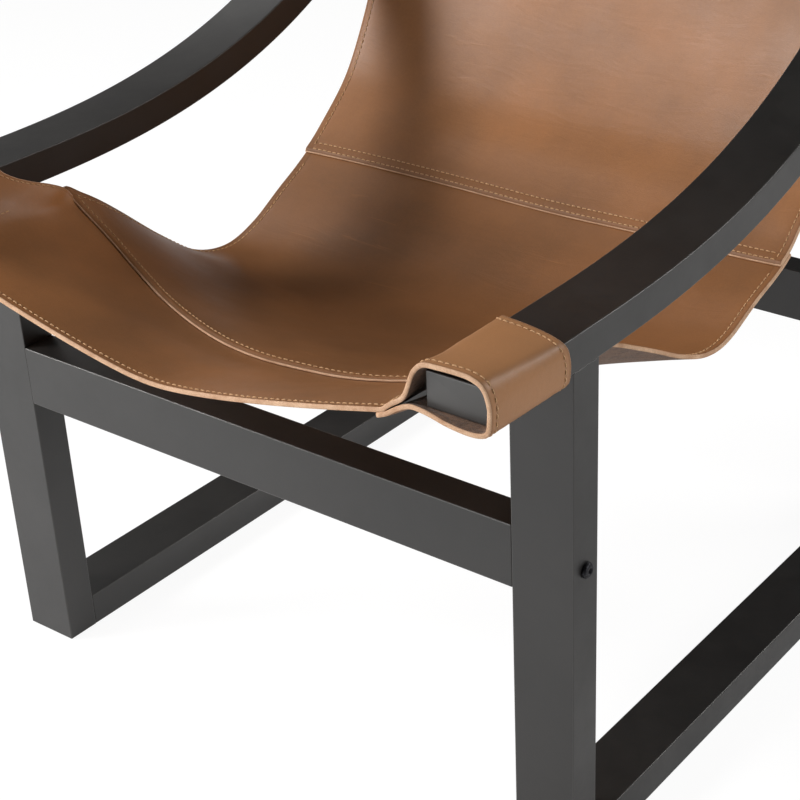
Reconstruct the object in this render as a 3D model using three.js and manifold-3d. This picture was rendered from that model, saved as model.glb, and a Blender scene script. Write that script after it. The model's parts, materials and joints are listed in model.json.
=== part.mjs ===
// Leather sling lounge chair: two closed side frames of painted wood, two rails, and a leather sling.
// Millimetres, +Z up. The chair looks toward -Y, and its width runs along X.

import * as THREE from "three";
import { mergeVertices } from "three/addons/utils/BufferGeometryUtils.js";
import Module from "manifold-3d";

const wasm = await Module();
wasm.setup();

// Driving dimensions of the frame
const WIDTH = 687;
const BASE_DEPTH = 766.5;
const ARM_HEIGHT = 521;
const MEMBER_WIDTH = 60;
const MEMBER_DEPTH = 35;
const ARM_THICKNESS = 30;
const ARM_OVERHANG = 100;
const POST_STRAIGHT = 186;
const BACK_ANGLE = THREE.MathUtils.degToRad(52);
const ARM_CURVE_SHARE = 1.5;
const RAIL_HEIGHT = 60;
const FRONT_RAIL_DROP = 182;
const REAR_RAIL_TOP = 253;
const EDGE_RADIUS = 1.5;

// Fastenings
const CLEARANCE = 0.3;
const OVERRUN = 1;
const BOLT_DIAMETER = 8;
const BOLT_LENGTH = 105;
const HEAD_DIAMETER = 14;
const HEAD_HEIGHT = 4.4;
const SOCKET_ACROSS = 5;
const SOCKET_DEPTH = 2.6;
const NUT_DIAMETER = 14;
const NUT_LENGTH = 20;
const NUT_SETBACK = 35;
const DOWEL_DIAMETER = 8;
const DOWEL_LENGTH = 50;
const DOWEL_SPREAD = 40;
const TENON_WIDTH = 30;
const TENON_THICKNESS = 10;
const TENON_LENGTH = 36;
const GLIDE_DIAMETER = 24;
const GLIDE_THICKNESS = 1.5;
const GLIDE_PIN_DIAMETER = 4;
const GLIDE_PIN_LENGTH = 10;

// Leather
const LEATHER = 4;
const LAP_GAP = 0.8;
const SLING_WIDTH = 590;
const SLEEVE_LENGTH = 96;
const SLEEVE_REACH = 5;
const TOP_SLEEVE_DROP = 54;
const SLEEVE_LOOSENESS = 3.7;
const SLEEVE_BEND = 7;
const FLAP_LENGTH = 17;
const RISE_WIDTH = 38.5;
const SHOULDER_INSET = 0.5;

// Counts of the faceted shapes
const ROUND_SEGMENTS = 20;
const CORNER_SEGMENTS = 2;
const ARM_STEPS = 32;
const SHEET_COLUMNS = 22;
const SEAT_ROWS = 24;
const BACK_ROWS = 22;
const BAND_COLUMNS = 11;
const BAND_ROWS = 7;
const BEND_STEPS = 3;

// Colours and finishes as seen
const MATERIALS = {
  painted_wood: { color: 0x2e2c2b, roughness: 0.5, metalness: 0 },
  saddle_leather: { color: 0x8f5f40, roughness: 0.45, metalness: 0 },
  black_steel: { color: 0x1c1c1e, roughness: 0.4, metalness: 0.8 },
  zinc_steel: { color: 0xb4b6ba, roughness: 0.35, metalness: 0.9 },
  beech: { color: 0xc9a274, roughness: 0.7, metalness: 0 },
  nylon: { color: 0x26262a, roughness: 0.6, metalness: 0 },
};

// Sizes that follow from those
const HALF_WIDTH = WIDTH / 2;
const INNER_FACE = HALF_WIDTH - MEMBER_WIDTH;
const MEMBER_MIDDLE = HALF_WIDTH - MEMBER_WIDTH / 2;
const REAR_LEG_FRONT = BASE_DEPTH - MEMBER_DEPTH;
const ARM_UNDERSIDE = ARM_HEIGHT - ARM_THICKNESS;
const FRONT_RAIL_TOP = ARM_HEIGHT - FRONT_RAIL_DROP;
const RAIL_LENGTH = WIDTH - 2 * MEMBER_WIDTH;
const LAP = LEATHER + LAP_GAP;
const SLING_HALF = SLING_WIDTH / 2;

const group = new THREE.Group();
const chair = new THREE.Group();
group.add(chair);

function addPiece(name, geometry, material, position = new THREE.Vector3()) {
  const finish = new THREE.MeshStandardMaterial({ name: material, ...MATERIALS[material] });
  const mesh = new THREE.Mesh(geometry, finish);
  mesh.name = name;
  mesh.position.copy(position);
  chair.add(mesh);
}

function toSolid(geometry) {
  const bare = geometry.clone();
  bare.deleteAttribute("normal");
  bare.deleteAttribute("uv");
  const merged = mergeVertices(bare);
  const vertProperties = new Float32Array(merged.attributes.position.array);
  const triVerts = new Uint32Array(merged.index.array);
  return new wasm.Manifold(new wasm.Mesh({ numProp: 3, vertProperties, triVerts }));
}

function fromSolid(solid) {
  const mesh = solid.getMesh();
  const geometry = new THREE.BufferGeometry();
  geometry.setAttribute("position", new THREE.BufferAttribute(mesh.vertProperties, 3));
  geometry.setIndex(new THREE.BufferAttribute(mesh.triVerts, 1));
  geometry.computeVertexNormals();
  return geometry;
}

function cut(geometry, cutters) {
  const solid = cutters.reduce((rest, cutter) => rest.subtract(toSolid(cutter)), toSolid(geometry));
  return fromSolid(solid);
}

function eased(width, depth) {
  const shape = new THREE.Shape();
  const x = width / 2 - EDGE_RADIUS;
  const y = depth / 2 - EDGE_RADIUS;
  shape.absarc(x, y, EDGE_RADIUS, 0, Math.PI / 2, false);
  shape.absarc(-x, y, EDGE_RADIUS, Math.PI / 2, Math.PI, false);
  shape.absarc(-x, -y, EDGE_RADIUS, Math.PI, 1.5 * Math.PI, false);
  shape.absarc(x, -y, EDGE_RADIUS, 1.5 * Math.PI, 2 * Math.PI, false);
  return shape;
}

// A bar along Z whose long edges are eased, from z = 0 up
function bar(width, depth, length) {
  return new THREE.ExtrudeGeometry(eased(width, depth), {
    depth: length,
    bevelEnabled: false,
    curveSegments: CORNER_SEGMENTS,
  });
}

// A plain cylinder along the named axis, centred on the given point
function rod(diameter, length, axis, x, y, z) {
  const geometry = new THREE.CylinderGeometry(diameter / 2, diameter / 2, length, ROUND_SEGMENTS);
  if (axis === "x") geometry.rotateZ(Math.PI / 2);
  if (axis === "z") geometry.rotateX(Math.PI / 2);
  return geometry.translate(x, y, z);
}

function block(width, depth, height, x, y, z) {
  return new THREE.BoxGeometry(width, depth, height).translate(x, y, z);
}

// Arm and back post

// The arm's slope at a share of its bend
function armAngle(share) {
  return BACK_ANGLE * share ** ARM_CURVE_SHARE;
}

// The arm's top line: level over the leg, then bending more and more until it is as steep as the back.
// Each step of the bend is a unit long until the whole bend is stretched to reach the straight of the post.
function armLine() {
  const bend = [{ y: 0, z: 0, angle: 0 }];
  for (let i = 1; i <= ARM_STEPS; i++) {
    const last = bend.at(-1);
    const middle = armAngle((i - 0.5) / ARM_STEPS);
    bend.push({ y: last.y + Math.cos(middle), z: last.z + Math.sin(middle), angle: armAngle(i / ARM_STEPS) });
  }
  const reach = REAR_LEG_FRONT - POST_STRAIGHT * Math.cos(BACK_ANGLE) - MEMBER_DEPTH;
  const step = reach / bend.at(-1).y;
  const placed = bend.map(({ y, z, angle }) => ({ y: MEMBER_DEPTH + y * step, z: ARM_HEIGHT + z * step, angle }));
  return [{ y: -ARM_OVERHANG, z: ARM_HEIGHT, angle: 0 }, ...placed];
}

const ARM_LINE = armLine();
const CURVE_END = ARM_LINE.at(-1);
const POST_END = {
  y: REAR_LEG_FRONT,
  z: CURVE_END.z + (REAR_LEG_FRONT - CURVE_END.y) * Math.tan(BACK_ANGLE),
};
const UNDERSIDE_DROP = ARM_THICKNESS / Math.cos(BACK_ANGLE);

// The arm's section, as places across it and depths below its top line: eased above, square below
function armSection() {
  const half = MEMBER_WIDTH / 2;
  const points = [{ x: -half, drop: ARM_THICKNESS }];
  for (const side of [-1, 1]) {
    for (let i = 0; i <= CORNER_SEGMENTS; i++) {
      const turn = (Math.PI / 2) * (side < 0 ? i / CORNER_SEGMENTS : 1 - i / CORNER_SEGMENTS);
      const x = side * (half - EDGE_RADIUS * (1 - Math.cos(turn)));
      points.push({ x, drop: EDGE_RADIUS * (1 - Math.sin(turn)) });
    }
  }
  points.push({ x: half, drop: ARM_THICKNESS });
  return points;
}

function armGeometry() {
  const section = armSection();
  const rings = ARM_LINE.map(({ y, z, angle }) =>
    section.map(({ x, drop }) => [x, y + drop * Math.sin(angle), z - drop * Math.cos(angle)])
  );
  rings.push(section.map(({ x, drop }) => [x, POST_END.y, POST_END.z - drop / Math.cos(BACK_ANGLE)]));
  return ringSolid(rings);
}

// A closed solid through rings of points, with flat ends
function ringSolid(rings) {
  const count = rings[0].length;
  const index = [];
  for (let i = 0; i + 1 < rings.length; i++) {
    for (let j = 0; j < count; j++) {
      const a = i * count + j;
      const b = i * count + ((j + 1) % count);
      index.push(a, b, a + count, b, b + count, a + count);
    }
  }
  const last = (rings.length - 1) * count;
  for (let j = 1; j + 1 < count; j++) {
    index.push(0, j + 1, j, last, last + j, last + j + 1);
  }
  return outwardGeometry(rings.flat(2), index);
}

function outwardGeometry(coordinates, index) {
  let volume = 0;
  const at = (i) => new THREE.Vector3().fromArray(coordinates, 3 * i);
  for (let i = 0; i < index.length; i += 3) {
    volume += at(index[i]).dot(at(index[i + 1]).cross(at(index[i + 2])));
  }
  if (volume < 0) index.reverse();
  const geometry = new THREE.BufferGeometry();
  geometry.setAttribute("position", new THREE.Float32BufferAttribute(coordinates, 3));
  geometry.setIndex(index);
  geometry.computeVertexNormals();
  return geometry;
}

const TENON_POCKET = TENON_LENGTH + 2 * OVERRUN;
const PLAY = 2 * CLEARANCE;

function pocketUp(x, y, z) {
  return block(TENON_WIDTH + PLAY, TENON_THICKNESS + PLAY, TENON_POCKET, x, y, z);
}

function pocketAlong(x, y, z) {
  return block(TENON_WIDTH + PLAY, TENON_POCKET, TENON_THICKNESS + PLAY, x, y, z);
}

const FRONT_LEG_Y = MEMBER_DEPTH / 2;
const REAR_LEG_Y = BASE_DEPTH - MEMBER_DEPTH / 2;
const RUNNER_TENON_Z = MEMBER_DEPTH / 2;

// The post's tenon lies midway between the post's underside at the leg and its top at the tenon's tip
const POST_TENON_Z = POST_END.z - (UNDERSIDE_DROP + (TENON_LENGTH / 2) * Math.tan(BACK_ANGLE)) / 2;

// Where each leg meets its rail: the leg's middle and the rail's middle height
const JOINTS = {
  front: { y: FRONT_LEG_Y, z: FRONT_RAIL_TOP - RAIL_HEIGHT / 2 },
  rear: { y: REAR_LEG_Y, z: REAR_RAIL_TOP - RAIL_HEIGHT / 2 },
};

// Holes of the bolt and its two dowels through the inner half of a leg; side is -1 or 1
function railHoles(side, y, z) {
  const inward = -side * (MEMBER_WIDTH / 2);
  const dowelHole = DOWEL_LENGTH + 2 * OVERRUN;
  const holes = [rod(BOLT_DIAMETER + PLAY, MEMBER_WIDTH + 2 * OVERRUN, "x", 0, y, z)];
  for (const way of [-1, 1]) {
    const dowelZ = z + (way * DOWEL_SPREAD) / 2;
    holes.push(rod(DOWEL_DIAMETER + PLAY, dowelHole, "x", inward, y, dowelZ));
  }
  return holes;
}

function glideHole(y) {
  const depth = GLIDE_PIN_LENGTH + OVERRUN;
  return rod(GLIDE_PIN_DIAMETER + PLAY, 2 * depth, "z", 0, y, 0);
}

function addSideFrame(name, side) {
  const place = new THREE.Vector3(side * MEMBER_MIDDLE, 0, 0);
  const armCuts = [
    pocketUp(0, FRONT_LEG_Y, ARM_UNDERSIDE),
    pocketAlong(0, POST_END.y, POST_TENON_Z),
  ];
  addPiece(`arm_post_${name}`, cut(armGeometry(), armCuts), "painted_wood", place);

  const frontLeg = bar(MEMBER_WIDTH, MEMBER_DEPTH, ARM_UNDERSIDE).translate(0, FRONT_LEG_Y, 0);
  const frontCuts = [
    ...railHoles(side, JOINTS.front.y, JOINTS.front.z),
    pocketUp(0, FRONT_LEG_Y, ARM_UNDERSIDE),
    pocketAlong(0, MEMBER_DEPTH, RUNNER_TENON_Z),
    glideHole(FRONT_LEG_Y),
  ];
  addPiece(`front_leg_${name}`, cut(frontLeg, frontCuts), "painted_wood", place);

  const rearLeg = bar(MEMBER_WIDTH, MEMBER_DEPTH, POST_END.z).translate(0, REAR_LEG_Y, 0);
  const rearCuts = [
    ...railHoles(side, JOINTS.rear.y, JOINTS.rear.z),
    pocketAlong(0, REAR_LEG_FRONT, RUNNER_TENON_Z),
    pocketAlong(0, REAR_LEG_FRONT, POST_TENON_Z),
    glideHole(REAR_LEG_Y),
  ];
  addPiece(`rear_leg_${name}`, cut(rearLeg, rearCuts), "painted_wood", place);

  const runner = bar(MEMBER_WIDTH, MEMBER_DEPTH, REAR_LEG_FRONT - MEMBER_DEPTH);
  runner.rotateX(-Math.PI / 2).translate(0, MEMBER_DEPTH, MEMBER_DEPTH / 2);
  const runnerCuts = [
    pocketAlong(0, MEMBER_DEPTH, RUNNER_TENON_Z),
    pocketAlong(0, REAR_LEG_FRONT, RUNNER_TENON_Z),
  ];
  addPiece(`floor_runner_${name}`, cut(runner, runnerCuts), "painted_wood", place);
}

function addTenons(name, side) {
  const x = side * MEMBER_MIDDLE;
  const upright = () => new THREE.BoxGeometry(TENON_WIDTH, TENON_THICKNESS, TENON_LENGTH);
  const level = () => new THREE.BoxGeometry(TENON_WIDTH, TENON_LENGTH, TENON_THICKNESS);
  const at = (y, z) => new THREE.Vector3(x, y, z);
  addPiece(`tenon_arm_${name}`, upright(), "beech", at(FRONT_LEG_Y, ARM_UNDERSIDE));
  addPiece(`tenon_runner_front_${name}`, level(), "beech", at(MEMBER_DEPTH, RUNNER_TENON_Z));
  addPiece(`tenon_runner_rear_${name}`, level(), "beech", at(REAR_LEG_FRONT, RUNNER_TENON_Z));
  addPiece(`tenon_post_${name}`, level(), "beech", at(REAR_LEG_FRONT, POST_TENON_Z));
}

// Rails

function addRail(name, joint) {
  const geometry = bar(RAIL_HEIGHT, MEMBER_DEPTH, RAIL_LENGTH);
  geometry.rotateY(Math.PI / 2).translate(-RAIL_LENGTH / 2, 0, 0);
  const boltHole = BOLT_LENGTH - MEMBER_WIDTH + OVERRUN;
  const dowelHole = DOWEL_LENGTH + 2 * OVERRUN;
  const nutHole = RAIL_HEIGHT / 2 + NUT_LENGTH / 2 + OVERRUN;
  const cuts = [];
  for (const side of [-1, 1]) {
    const end = (side * RAIL_LENGTH) / 2;
    cuts.push(rod(BOLT_DIAMETER + PLAY, 2 * boltHole, "x", end, 0, 0));
    const nutX = end - side * NUT_SETBACK;
    cuts.push(rod(NUT_DIAMETER + PLAY, 2 * nutHole, "z", nutX, 0, -RAIL_HEIGHT / 2));
    for (const way of [-1, 1]) {
      cuts.push(rod(DOWEL_DIAMETER + PLAY, dowelHole, "x", end, 0, (way * DOWEL_SPREAD) / 2));
    }
  }
  addPiece(`${name}_rail`, cut(geometry, cuts), "painted_wood", new THREE.Vector3(0, joint.y, joint.z));
}

// A button-head bolt along +X whose head's underside is at x = 0 and whose shank runs inward
function boltGeometry() {
  const head = HEAD_DIAMETER / 2;
  const rim = HEAD_HEIGHT / 4;
  const profile = [new THREE.Vector2(0, -BOLT_LENGTH), new THREE.Vector2(BOLT_DIAMETER / 2, -BOLT_LENGTH)];
  profile.push(new THREE.Vector2(BOLT_DIAMETER / 2, 0), new THREE.Vector2(head, 0));
  const steps = 4;
  for (let i = 0; i <= steps; i++) {
    const turn = (Math.PI / 2) * (i / steps) * 0.75;
    const radius = head * Math.cos(turn);
    profile.push(new THREE.Vector2(radius, rim + ((HEAD_HEIGHT - rim) * Math.sin(turn)) / Math.sin(0.375 * Math.PI)));
  }
  profile.push(new THREE.Vector2(0, HEAD_HEIGHT));
  const socket = new THREE.CylinderGeometry(1, 1, 2 * SOCKET_DEPTH, 6);
  const socketRadius = SOCKET_ACROSS / Math.sqrt(3);
  socket.scale(socketRadius, 1, socketRadius).translate(0, HEAD_HEIGHT, 0);
  return cut(new THREE.LatheGeometry(profile, ROUND_SEGMENTS), [socket]).rotateZ(-Math.PI / 2);
}

function nutGeometry() {
  const body = rod(NUT_DIAMETER, NUT_LENGTH, "z", 0, 0, 0);
  return cut(body, [rod(BOLT_DIAMETER + PLAY, NUT_DIAMETER + 2 * OVERRUN, "x", 0, 0, 0)]);
}

function addFastenings(end, joint) {
  for (const [name, side] of [["left", -1], ["right", 1]]) {
    const bolt = boltGeometry();
    if (side < 0) bolt.rotateZ(Math.PI);
    const outer = new THREE.Vector3(side * HALF_WIDTH, joint.y, joint.z);
    addPiece(`bolt_${end}_${name}`, bolt, "black_steel", outer);
    const nutPlace = new THREE.Vector3(side * (INNER_FACE - NUT_SETBACK), joint.y, joint.z);
    addPiece(`barrel_nut_${end}_${name}`, nutGeometry(), "zinc_steel", nutPlace);
    for (const [height, way] of [["lower", -1], ["upper", 1]]) {
      const place = new THREE.Vector3(side * INNER_FACE, joint.y, joint.z + (way * DOWEL_SPREAD) / 2);
      const dowel = rod(DOWEL_DIAMETER, DOWEL_LENGTH, "x", 0, 0, 0);
      addPiece(`dowel_${end}_${name}_${height}`, dowel, "beech", place);
    }
  }
}

function addGlides(name, side) {
  for (const [end, y] of [["front", FRONT_LEG_Y], ["rear", REAR_LEG_Y]]) {
    const profile = [
      new THREE.Vector2(0, -GLIDE_THICKNESS),
      new THREE.Vector2(GLIDE_DIAMETER / 2, -GLIDE_THICKNESS),
      new THREE.Vector2(GLIDE_DIAMETER / 2, 0),
      new THREE.Vector2(GLIDE_PIN_DIAMETER / 2, 0),
      new THREE.Vector2(GLIDE_PIN_DIAMETER / 2, GLIDE_PIN_LENGTH),
      new THREE.Vector2(0, GLIDE_PIN_LENGTH),
    ];
    const glide = new THREE.LatheGeometry(profile, ROUND_SEGMENTS).rotateX(Math.PI / 2);
    addPiece(`glide_${end}_${name}`, glide, "nylon", new THREE.Vector3(side * MEMBER_MIDDLE, y, 0));
  }
}

// The sling's shape

// A frame at a sleeve's mouth: away runs along the member from its mouth, up is square to its top
const FRONT_MOUTH = {
  y: -ARM_OVERHANG - SLEEVE_REACH,
  z: ARM_HEIGHT,
  away: { y: 1, z: 0 },
  up: { y: 0, z: 1 },
};
const TOP_MOUTH = {
  y: POST_END.y - TOP_SLEEVE_DROP * Math.cos(BACK_ANGLE),
  z: POST_END.z - TOP_SLEEVE_DROP * Math.sin(BACK_ANGLE),
  away: { y: -Math.cos(BACK_ANGLE), z: -Math.sin(BACK_ANGLE) },
  up: { y: -Math.sin(BACK_ANGLE), z: Math.cos(BACK_ANGLE) },
};

function inMouth(mouth, away, up) {
  return {
    y: mouth.y + away * mouth.away.y + up * mouth.up.y,
    z: mouth.z + away * mouth.away.z + up * mouth.up.z,
  };
}

// Stations near a mouth: middle, then edge, each as shares of the sleeve's length and the arm's thickness
function mouthStation(mouth, [middleAway, middleUp, edgeAway, edgeUp, bend, sweep]) {
  const middle = inMouth(mouth, middleAway * SLEEVE_LENGTH, middleUp * ARM_THICKNESS);
  const edge = inMouth(mouth, edgeAway * SLEEVE_LENGTH, edgeUp * ARM_THICKNESS);
  return { middle, left: edge, right: edge, bend, sweep };
}

// Stations of the seat: middle, left edge and right edge as shares of the base depth and the arm height
function seatStation([middleY, middleZ, leftY, leftZ, rightY, rightZ, bend, sweep]) {
  const at = (y, z) => ({ y: y * BASE_DEPTH, z: z * ARM_HEIGHT });
  return { middle: at(middleY, middleZ), left: at(leftY, leftZ), right: at(rightY, rightZ), bend, sweep };
}

const FRONT_SHARES = [
  [0, -3.05, 0, -1.03, 1.45, 2],
  [0.66, -3.55, 0.94, -1.04, 2, 1.2],
  [1.33, -4.08, 1.8, -1.47, 2.9, 1],
];
const SEAT_SHARES = [
  [0.102, 0.735, 0.136, 0.873, 0.136, 0.877, 2.9, 1.5],
  [0.176, 0.7, 0.196, 0.808, 0.196, 0.841, 2.6, 2],
  [0.248, 0.67, 0.258, 0.733, 0.261, 0.795, 2.4, 2],
  [0.32, 0.65, 0.317, 0.672, 0.322, 0.747, 2.2, 2],
  [0.385, 0.645, 0.378, 0.655, 0.381, 0.71, 2.2, 2],
  [0.45, 0.662, 0.437, 0.681, 0.437, 0.71, 2.2, 2],
  [0.518, 0.704, 0.496, 0.731, 0.506, 0.747, 2.1, 2],
  [0.583, 0.758, 0.549, 0.777, 0.569, 0.783, 2, 2],
];

// Stations of the back: along the line from the seam to the top corner and square to it, as shares of it
const BACK_SHARES = [
  [0.17, 0.098, 0.1, 0.028, 2, 2],
  [0.3, 0.116, 0.285, 0.052, 2, 2],
  [0.47, 0.12, 0.5, 0.036, 2, 2],
  [0.67, 0.108, 0.7, 0.008, 2, 2],
  [0.87, 0.095, 0.87, 0, 2.1, 2],
];
const TOP_SHARES = [
  [1.33, -2.33, 1.8, -1.4, 2.4, 1],
  [0.66, -2.05, 0.94, -1.04, 2, 1.2],
  [0, -1.8, 0, -1.03, 1.6, 2],
];

function backStation(seam, corner, [middleAlong, middleOff, edgeAlong, edgeOff, bend, sweep]) {
  const onLine = (side, along, off) => {
    const y = corner[side].y - seam[side].y;
    const z = corner[side].z - seam[side].z;
    return { y: seam[side].y + along * y + off * z, z: seam[side].z + along * z - off * y };
  };
  const left = onLine("left", middleAlong, middleOff);
  const right = onLine("right", middleAlong, middleOff);
  return {
    middle: { y: (left.y + right.y) / 2, z: (left.z + right.z) / 2 },
    left: onLine("left", edgeAlong, edgeOff),
    right: onLine("right", edgeAlong, edgeOff),
    bend,
    sweep,
  };
}

function slingStations() {
  const front = FRONT_SHARES.map((shares) => mouthStation(FRONT_MOUTH, shares));
  const seat = SEAT_SHARES.map(seatStation);
  const top = TOP_SHARES.map((shares) => mouthStation(TOP_MOUTH, shares));
  const back = BACK_SHARES.map((shares) => backStation(seat.at(-1), top[0], shares));
  return [...front, ...seat, ...back, ...top];
}

const STATIONS = slingStations();
const CORNER_STATION = FRONT_SHARES.length - 1;
const SEAM_STATION = FRONT_SHARES.length + SEAT_SHARES.length - 1;
const LAST_STATION = STATIONS.length - 1;
const TOP_CORNER_STATION = LAST_STATION - CORNER_STATION;

// A smooth value through four neighbouring stations
function smooth(before, from, to, after, share) {
  const slope = (to - before) / 2;
  const nextSlope = (after - from) / 2;
  const rest = 3 * (to - from) - 2 * slope - nextSlope;
  const turn = 2 * (from - to) + slope + nextSlope;
  return from + share * (slope + share * (rest + share * turn));
}

function stationValue(station, read) {
  const index = Math.min(Math.floor(station), LAST_STATION - 1);
  const at = (i) => read(STATIONS[THREE.MathUtils.clamp(i, 0, LAST_STATION)]);
  return smooth(at(index - 1), at(index), at(index + 1), at(index + 2), station - index);
}

// The sling's own surface: a point for a place across it and a station along it
function slingPoint(x, station) {
  const edge = x < 0 ? "left" : "right";
  const out = Math.abs(x) / SLING_HALF;
  const bend = out ** stationValue(station, (s) => s.bend);
  const sweep = out ** stationValue(station, (s) => s.sweep);
  const middleY = stationValue(station, (s) => s.middle.y);
  const middleZ = stationValue(station, (s) => s.middle.z);
  const edgeY = stationValue(station, (s) => s[edge].y);
  const edgeZ = stationValue(station, (s) => s[edge].z);
  const steep = Math.abs(edgeZ - middleZ) < Math.abs(edgeY - middleY);
  const yShare = steep ? bend : sweep;
  return new THREE.Vector3(x, middleY + (edgeY - middleY) * yShare, middleZ + (edgeZ - middleZ) * bend);
}

function slingNormal(x, station) {
  const span = SLING_HALF / SHEET_COLUMNS;
  const step = 1 / 4;
  const low = Math.max(station - step, 0);
  const high = Math.min(station + step, LAST_STATION);
  const across = slingPoint(x + span, station).sub(slingPoint(x - span, station));
  const along = slingPoint(x, high).sub(slingPoint(x, low));
  return across.cross(along).normalize();
}

// The sling's surface moved to one side, so that one sheet lies on another where they are sewn
function layer(x, station, lift) {
  return slingPoint(x, station).addScaledVector(slingNormal(x, station), lift);
}

// A closed sheet of leather through a grid of points in its middle
function sheetSolid(grid) {
  const rows = grid.length;
  const columns = grid[0].length;
  const normals = grid.map((row, i) => row.map((_, j) => gridNormal(grid, i, j)));
  const coordinates = [];
  for (const face of [1, -1]) {
    grid.forEach((row, i) =>
      row.forEach((point, j) => {
        const moved = point.clone().addScaledVector(normals[i][j], (face * LEATHER) / 2);
        coordinates.push(moved.x, moved.y, moved.z);
      })
    );
  }
  const under = rows * columns;
  const index = [];
  const quad = (a, b, c, d) => index.push(a, b, c, a, c, d);
  for (let i = 0; i + 1 < rows; i++) {
    for (let j = 0; j + 1 < columns; j++) {
      const a = i * columns + j;
      quad(a, a + 1, a + columns + 1, a + columns);
      quad(under + a + columns, under + a + columns + 1, under + a + 1, under + a);
    }
  }
  const rim = [];
  for (let j = 0; j + 1 < columns; j++) rim.push(j);
  for (let i = 0; i + 1 < rows; i++) rim.push(i * columns + columns - 1);
  for (let j = columns - 1; j > 0; j--) rim.push((rows - 1) * columns + j);
  for (let i = rows - 1; i > 0; i--) rim.push(i * columns);
  rim.forEach((a, k) => {
    const b = rim[(k + 1) % rim.length];
    quad(b, a, under + a, under + b);
  });
  return outwardGeometry(coordinates, index);
}

function gridNormal(grid, i, j) {
  const rows = grid.length - 1;
  const columns = grid[0].length - 1;
  const down = grid[Math.min(i + 1, rows)][j].clone().sub(grid[Math.max(i - 1, 0)][j]);
  const across = grid[i][Math.min(j + 1, columns)].clone().sub(grid[i][Math.max(j - 1, 0)]);
  return across.cross(down).normalize();
}

// Seat and back panels

const RAMP_STATIONS = 1.3;
const SEAM_LAP_STATIONS = 0.45;

// 1 on one side of a station, easing to 0 over the ramp that follows it
function fade(station, start) {
  return 1 - THREE.MathUtils.smoothstep(station, start, start + RAMP_STATIONS);
}

function seatLift(station) {
  const front = fade(station, CORNER_STATION + 1);
  const rear = 1 - fade(station, SEAM_STATION - RAMP_STATIONS - SEAM_LAP_STATIONS);
  return (LAP / 2) * (front - rear);
}

function backLift(station) {
  const low = fade(station, SEAM_STATION + 2 * SEAM_LAP_STATIONS);
  const high = 1 - fade(station, TOP_CORNER_STATION - 1 - RAMP_STATIONS);
  return (LAP / 2) * (low + high);
}

function panelGrid(first, last, rows, lift) {
  const grid = [];
  for (let i = 0; i <= rows; i++) {
    const station = THREE.MathUtils.lerp(first, last, i / rows);
    const row = [];
    for (let j = 0; j <= SHEET_COLUMNS; j++) {
      const x = THREE.MathUtils.lerp(-SLING_HALF, SLING_HALF, j / SHEET_COLUMNS);
      row.push(layer(x, station, lift(station)));
    }
    grid.push(row);
  }
  return grid;
}

function addPanels() {
  const seat = panelGrid(CORNER_STATION, SEAM_STATION + SEAM_LAP_STATIONS, SEAT_ROWS, seatLift);
  addPiece("seat_panel", sheetSolid(seat), "saddle_leather");
  const back = panelGrid(SEAM_STATION, TOP_CORNER_STATION, BACK_ROWS, backLift);
  addPiece("back_panel", sheetSolid(back), "saddle_leather");
}

// Sleeve bands

// Inner rise of a sleeve, at its mouth and at the shoulder behind it. Each place is a share of the arm's
// thickness across from its inner face and above its top, then a share of the sleeve's length from the mouth.
const RISE_MOUTH_SHARES = [
  [-0.88, -1.2, 0],
  [-0.59, -0.8, 0],
  [-0.37, -0.4, 0],
  [-0.14, -0.02, 0],
  [0.02, 0.123, 0],
];
const RISE_SHOULDER_SHARES = [
  [-0.09, -1.05, 1.64],
  [-0.11, -0.72, 1.46],
  [-0.11, -0.37, 1.32],
  [-0.12, 0.01, 1.18],
  [0.04, 0.123, 1.06],
];
const BAND_HIDDEN_STATIONS = 0.85;
const SHOULDER_STATIONS = 0.93;
const SHOULDER_CURVE = 6;
const FLAP_STATIONS = 1.2;
const TUCK_STATIONS = 0.3;

// The half section of a sleeve round the member, from its top at the inner side to its underside
function sleeveLoop() {
  const loop = [];
  const outer = HALF_WIDTH + SLEEVE_LOOSENESS - SLEEVE_BEND;
  const above = SLEEVE_LOOSENESS - SLEEVE_BEND;
  const below = SLEEVE_BEND - SLEEVE_LOOSENESS - ARM_THICKNESS;
  loop.push({ x: MEMBER_MIDDLE - MEMBER_WIDTH / 4, up: SLEEVE_LOOSENESS });
  for (const [centre, start] of [[above, Math.PI / 2], [below, 0]]) {
    for (let i = 0; i <= BEND_STEPS; i++) {
      const turn = start - (Math.PI / 2) * (i / BEND_STEPS);
      loop.push({ x: outer + SLEEVE_BEND * Math.cos(turn), up: centre + SLEEVE_BEND * Math.sin(turn) });
    }
  }
  return loop;
}

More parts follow.
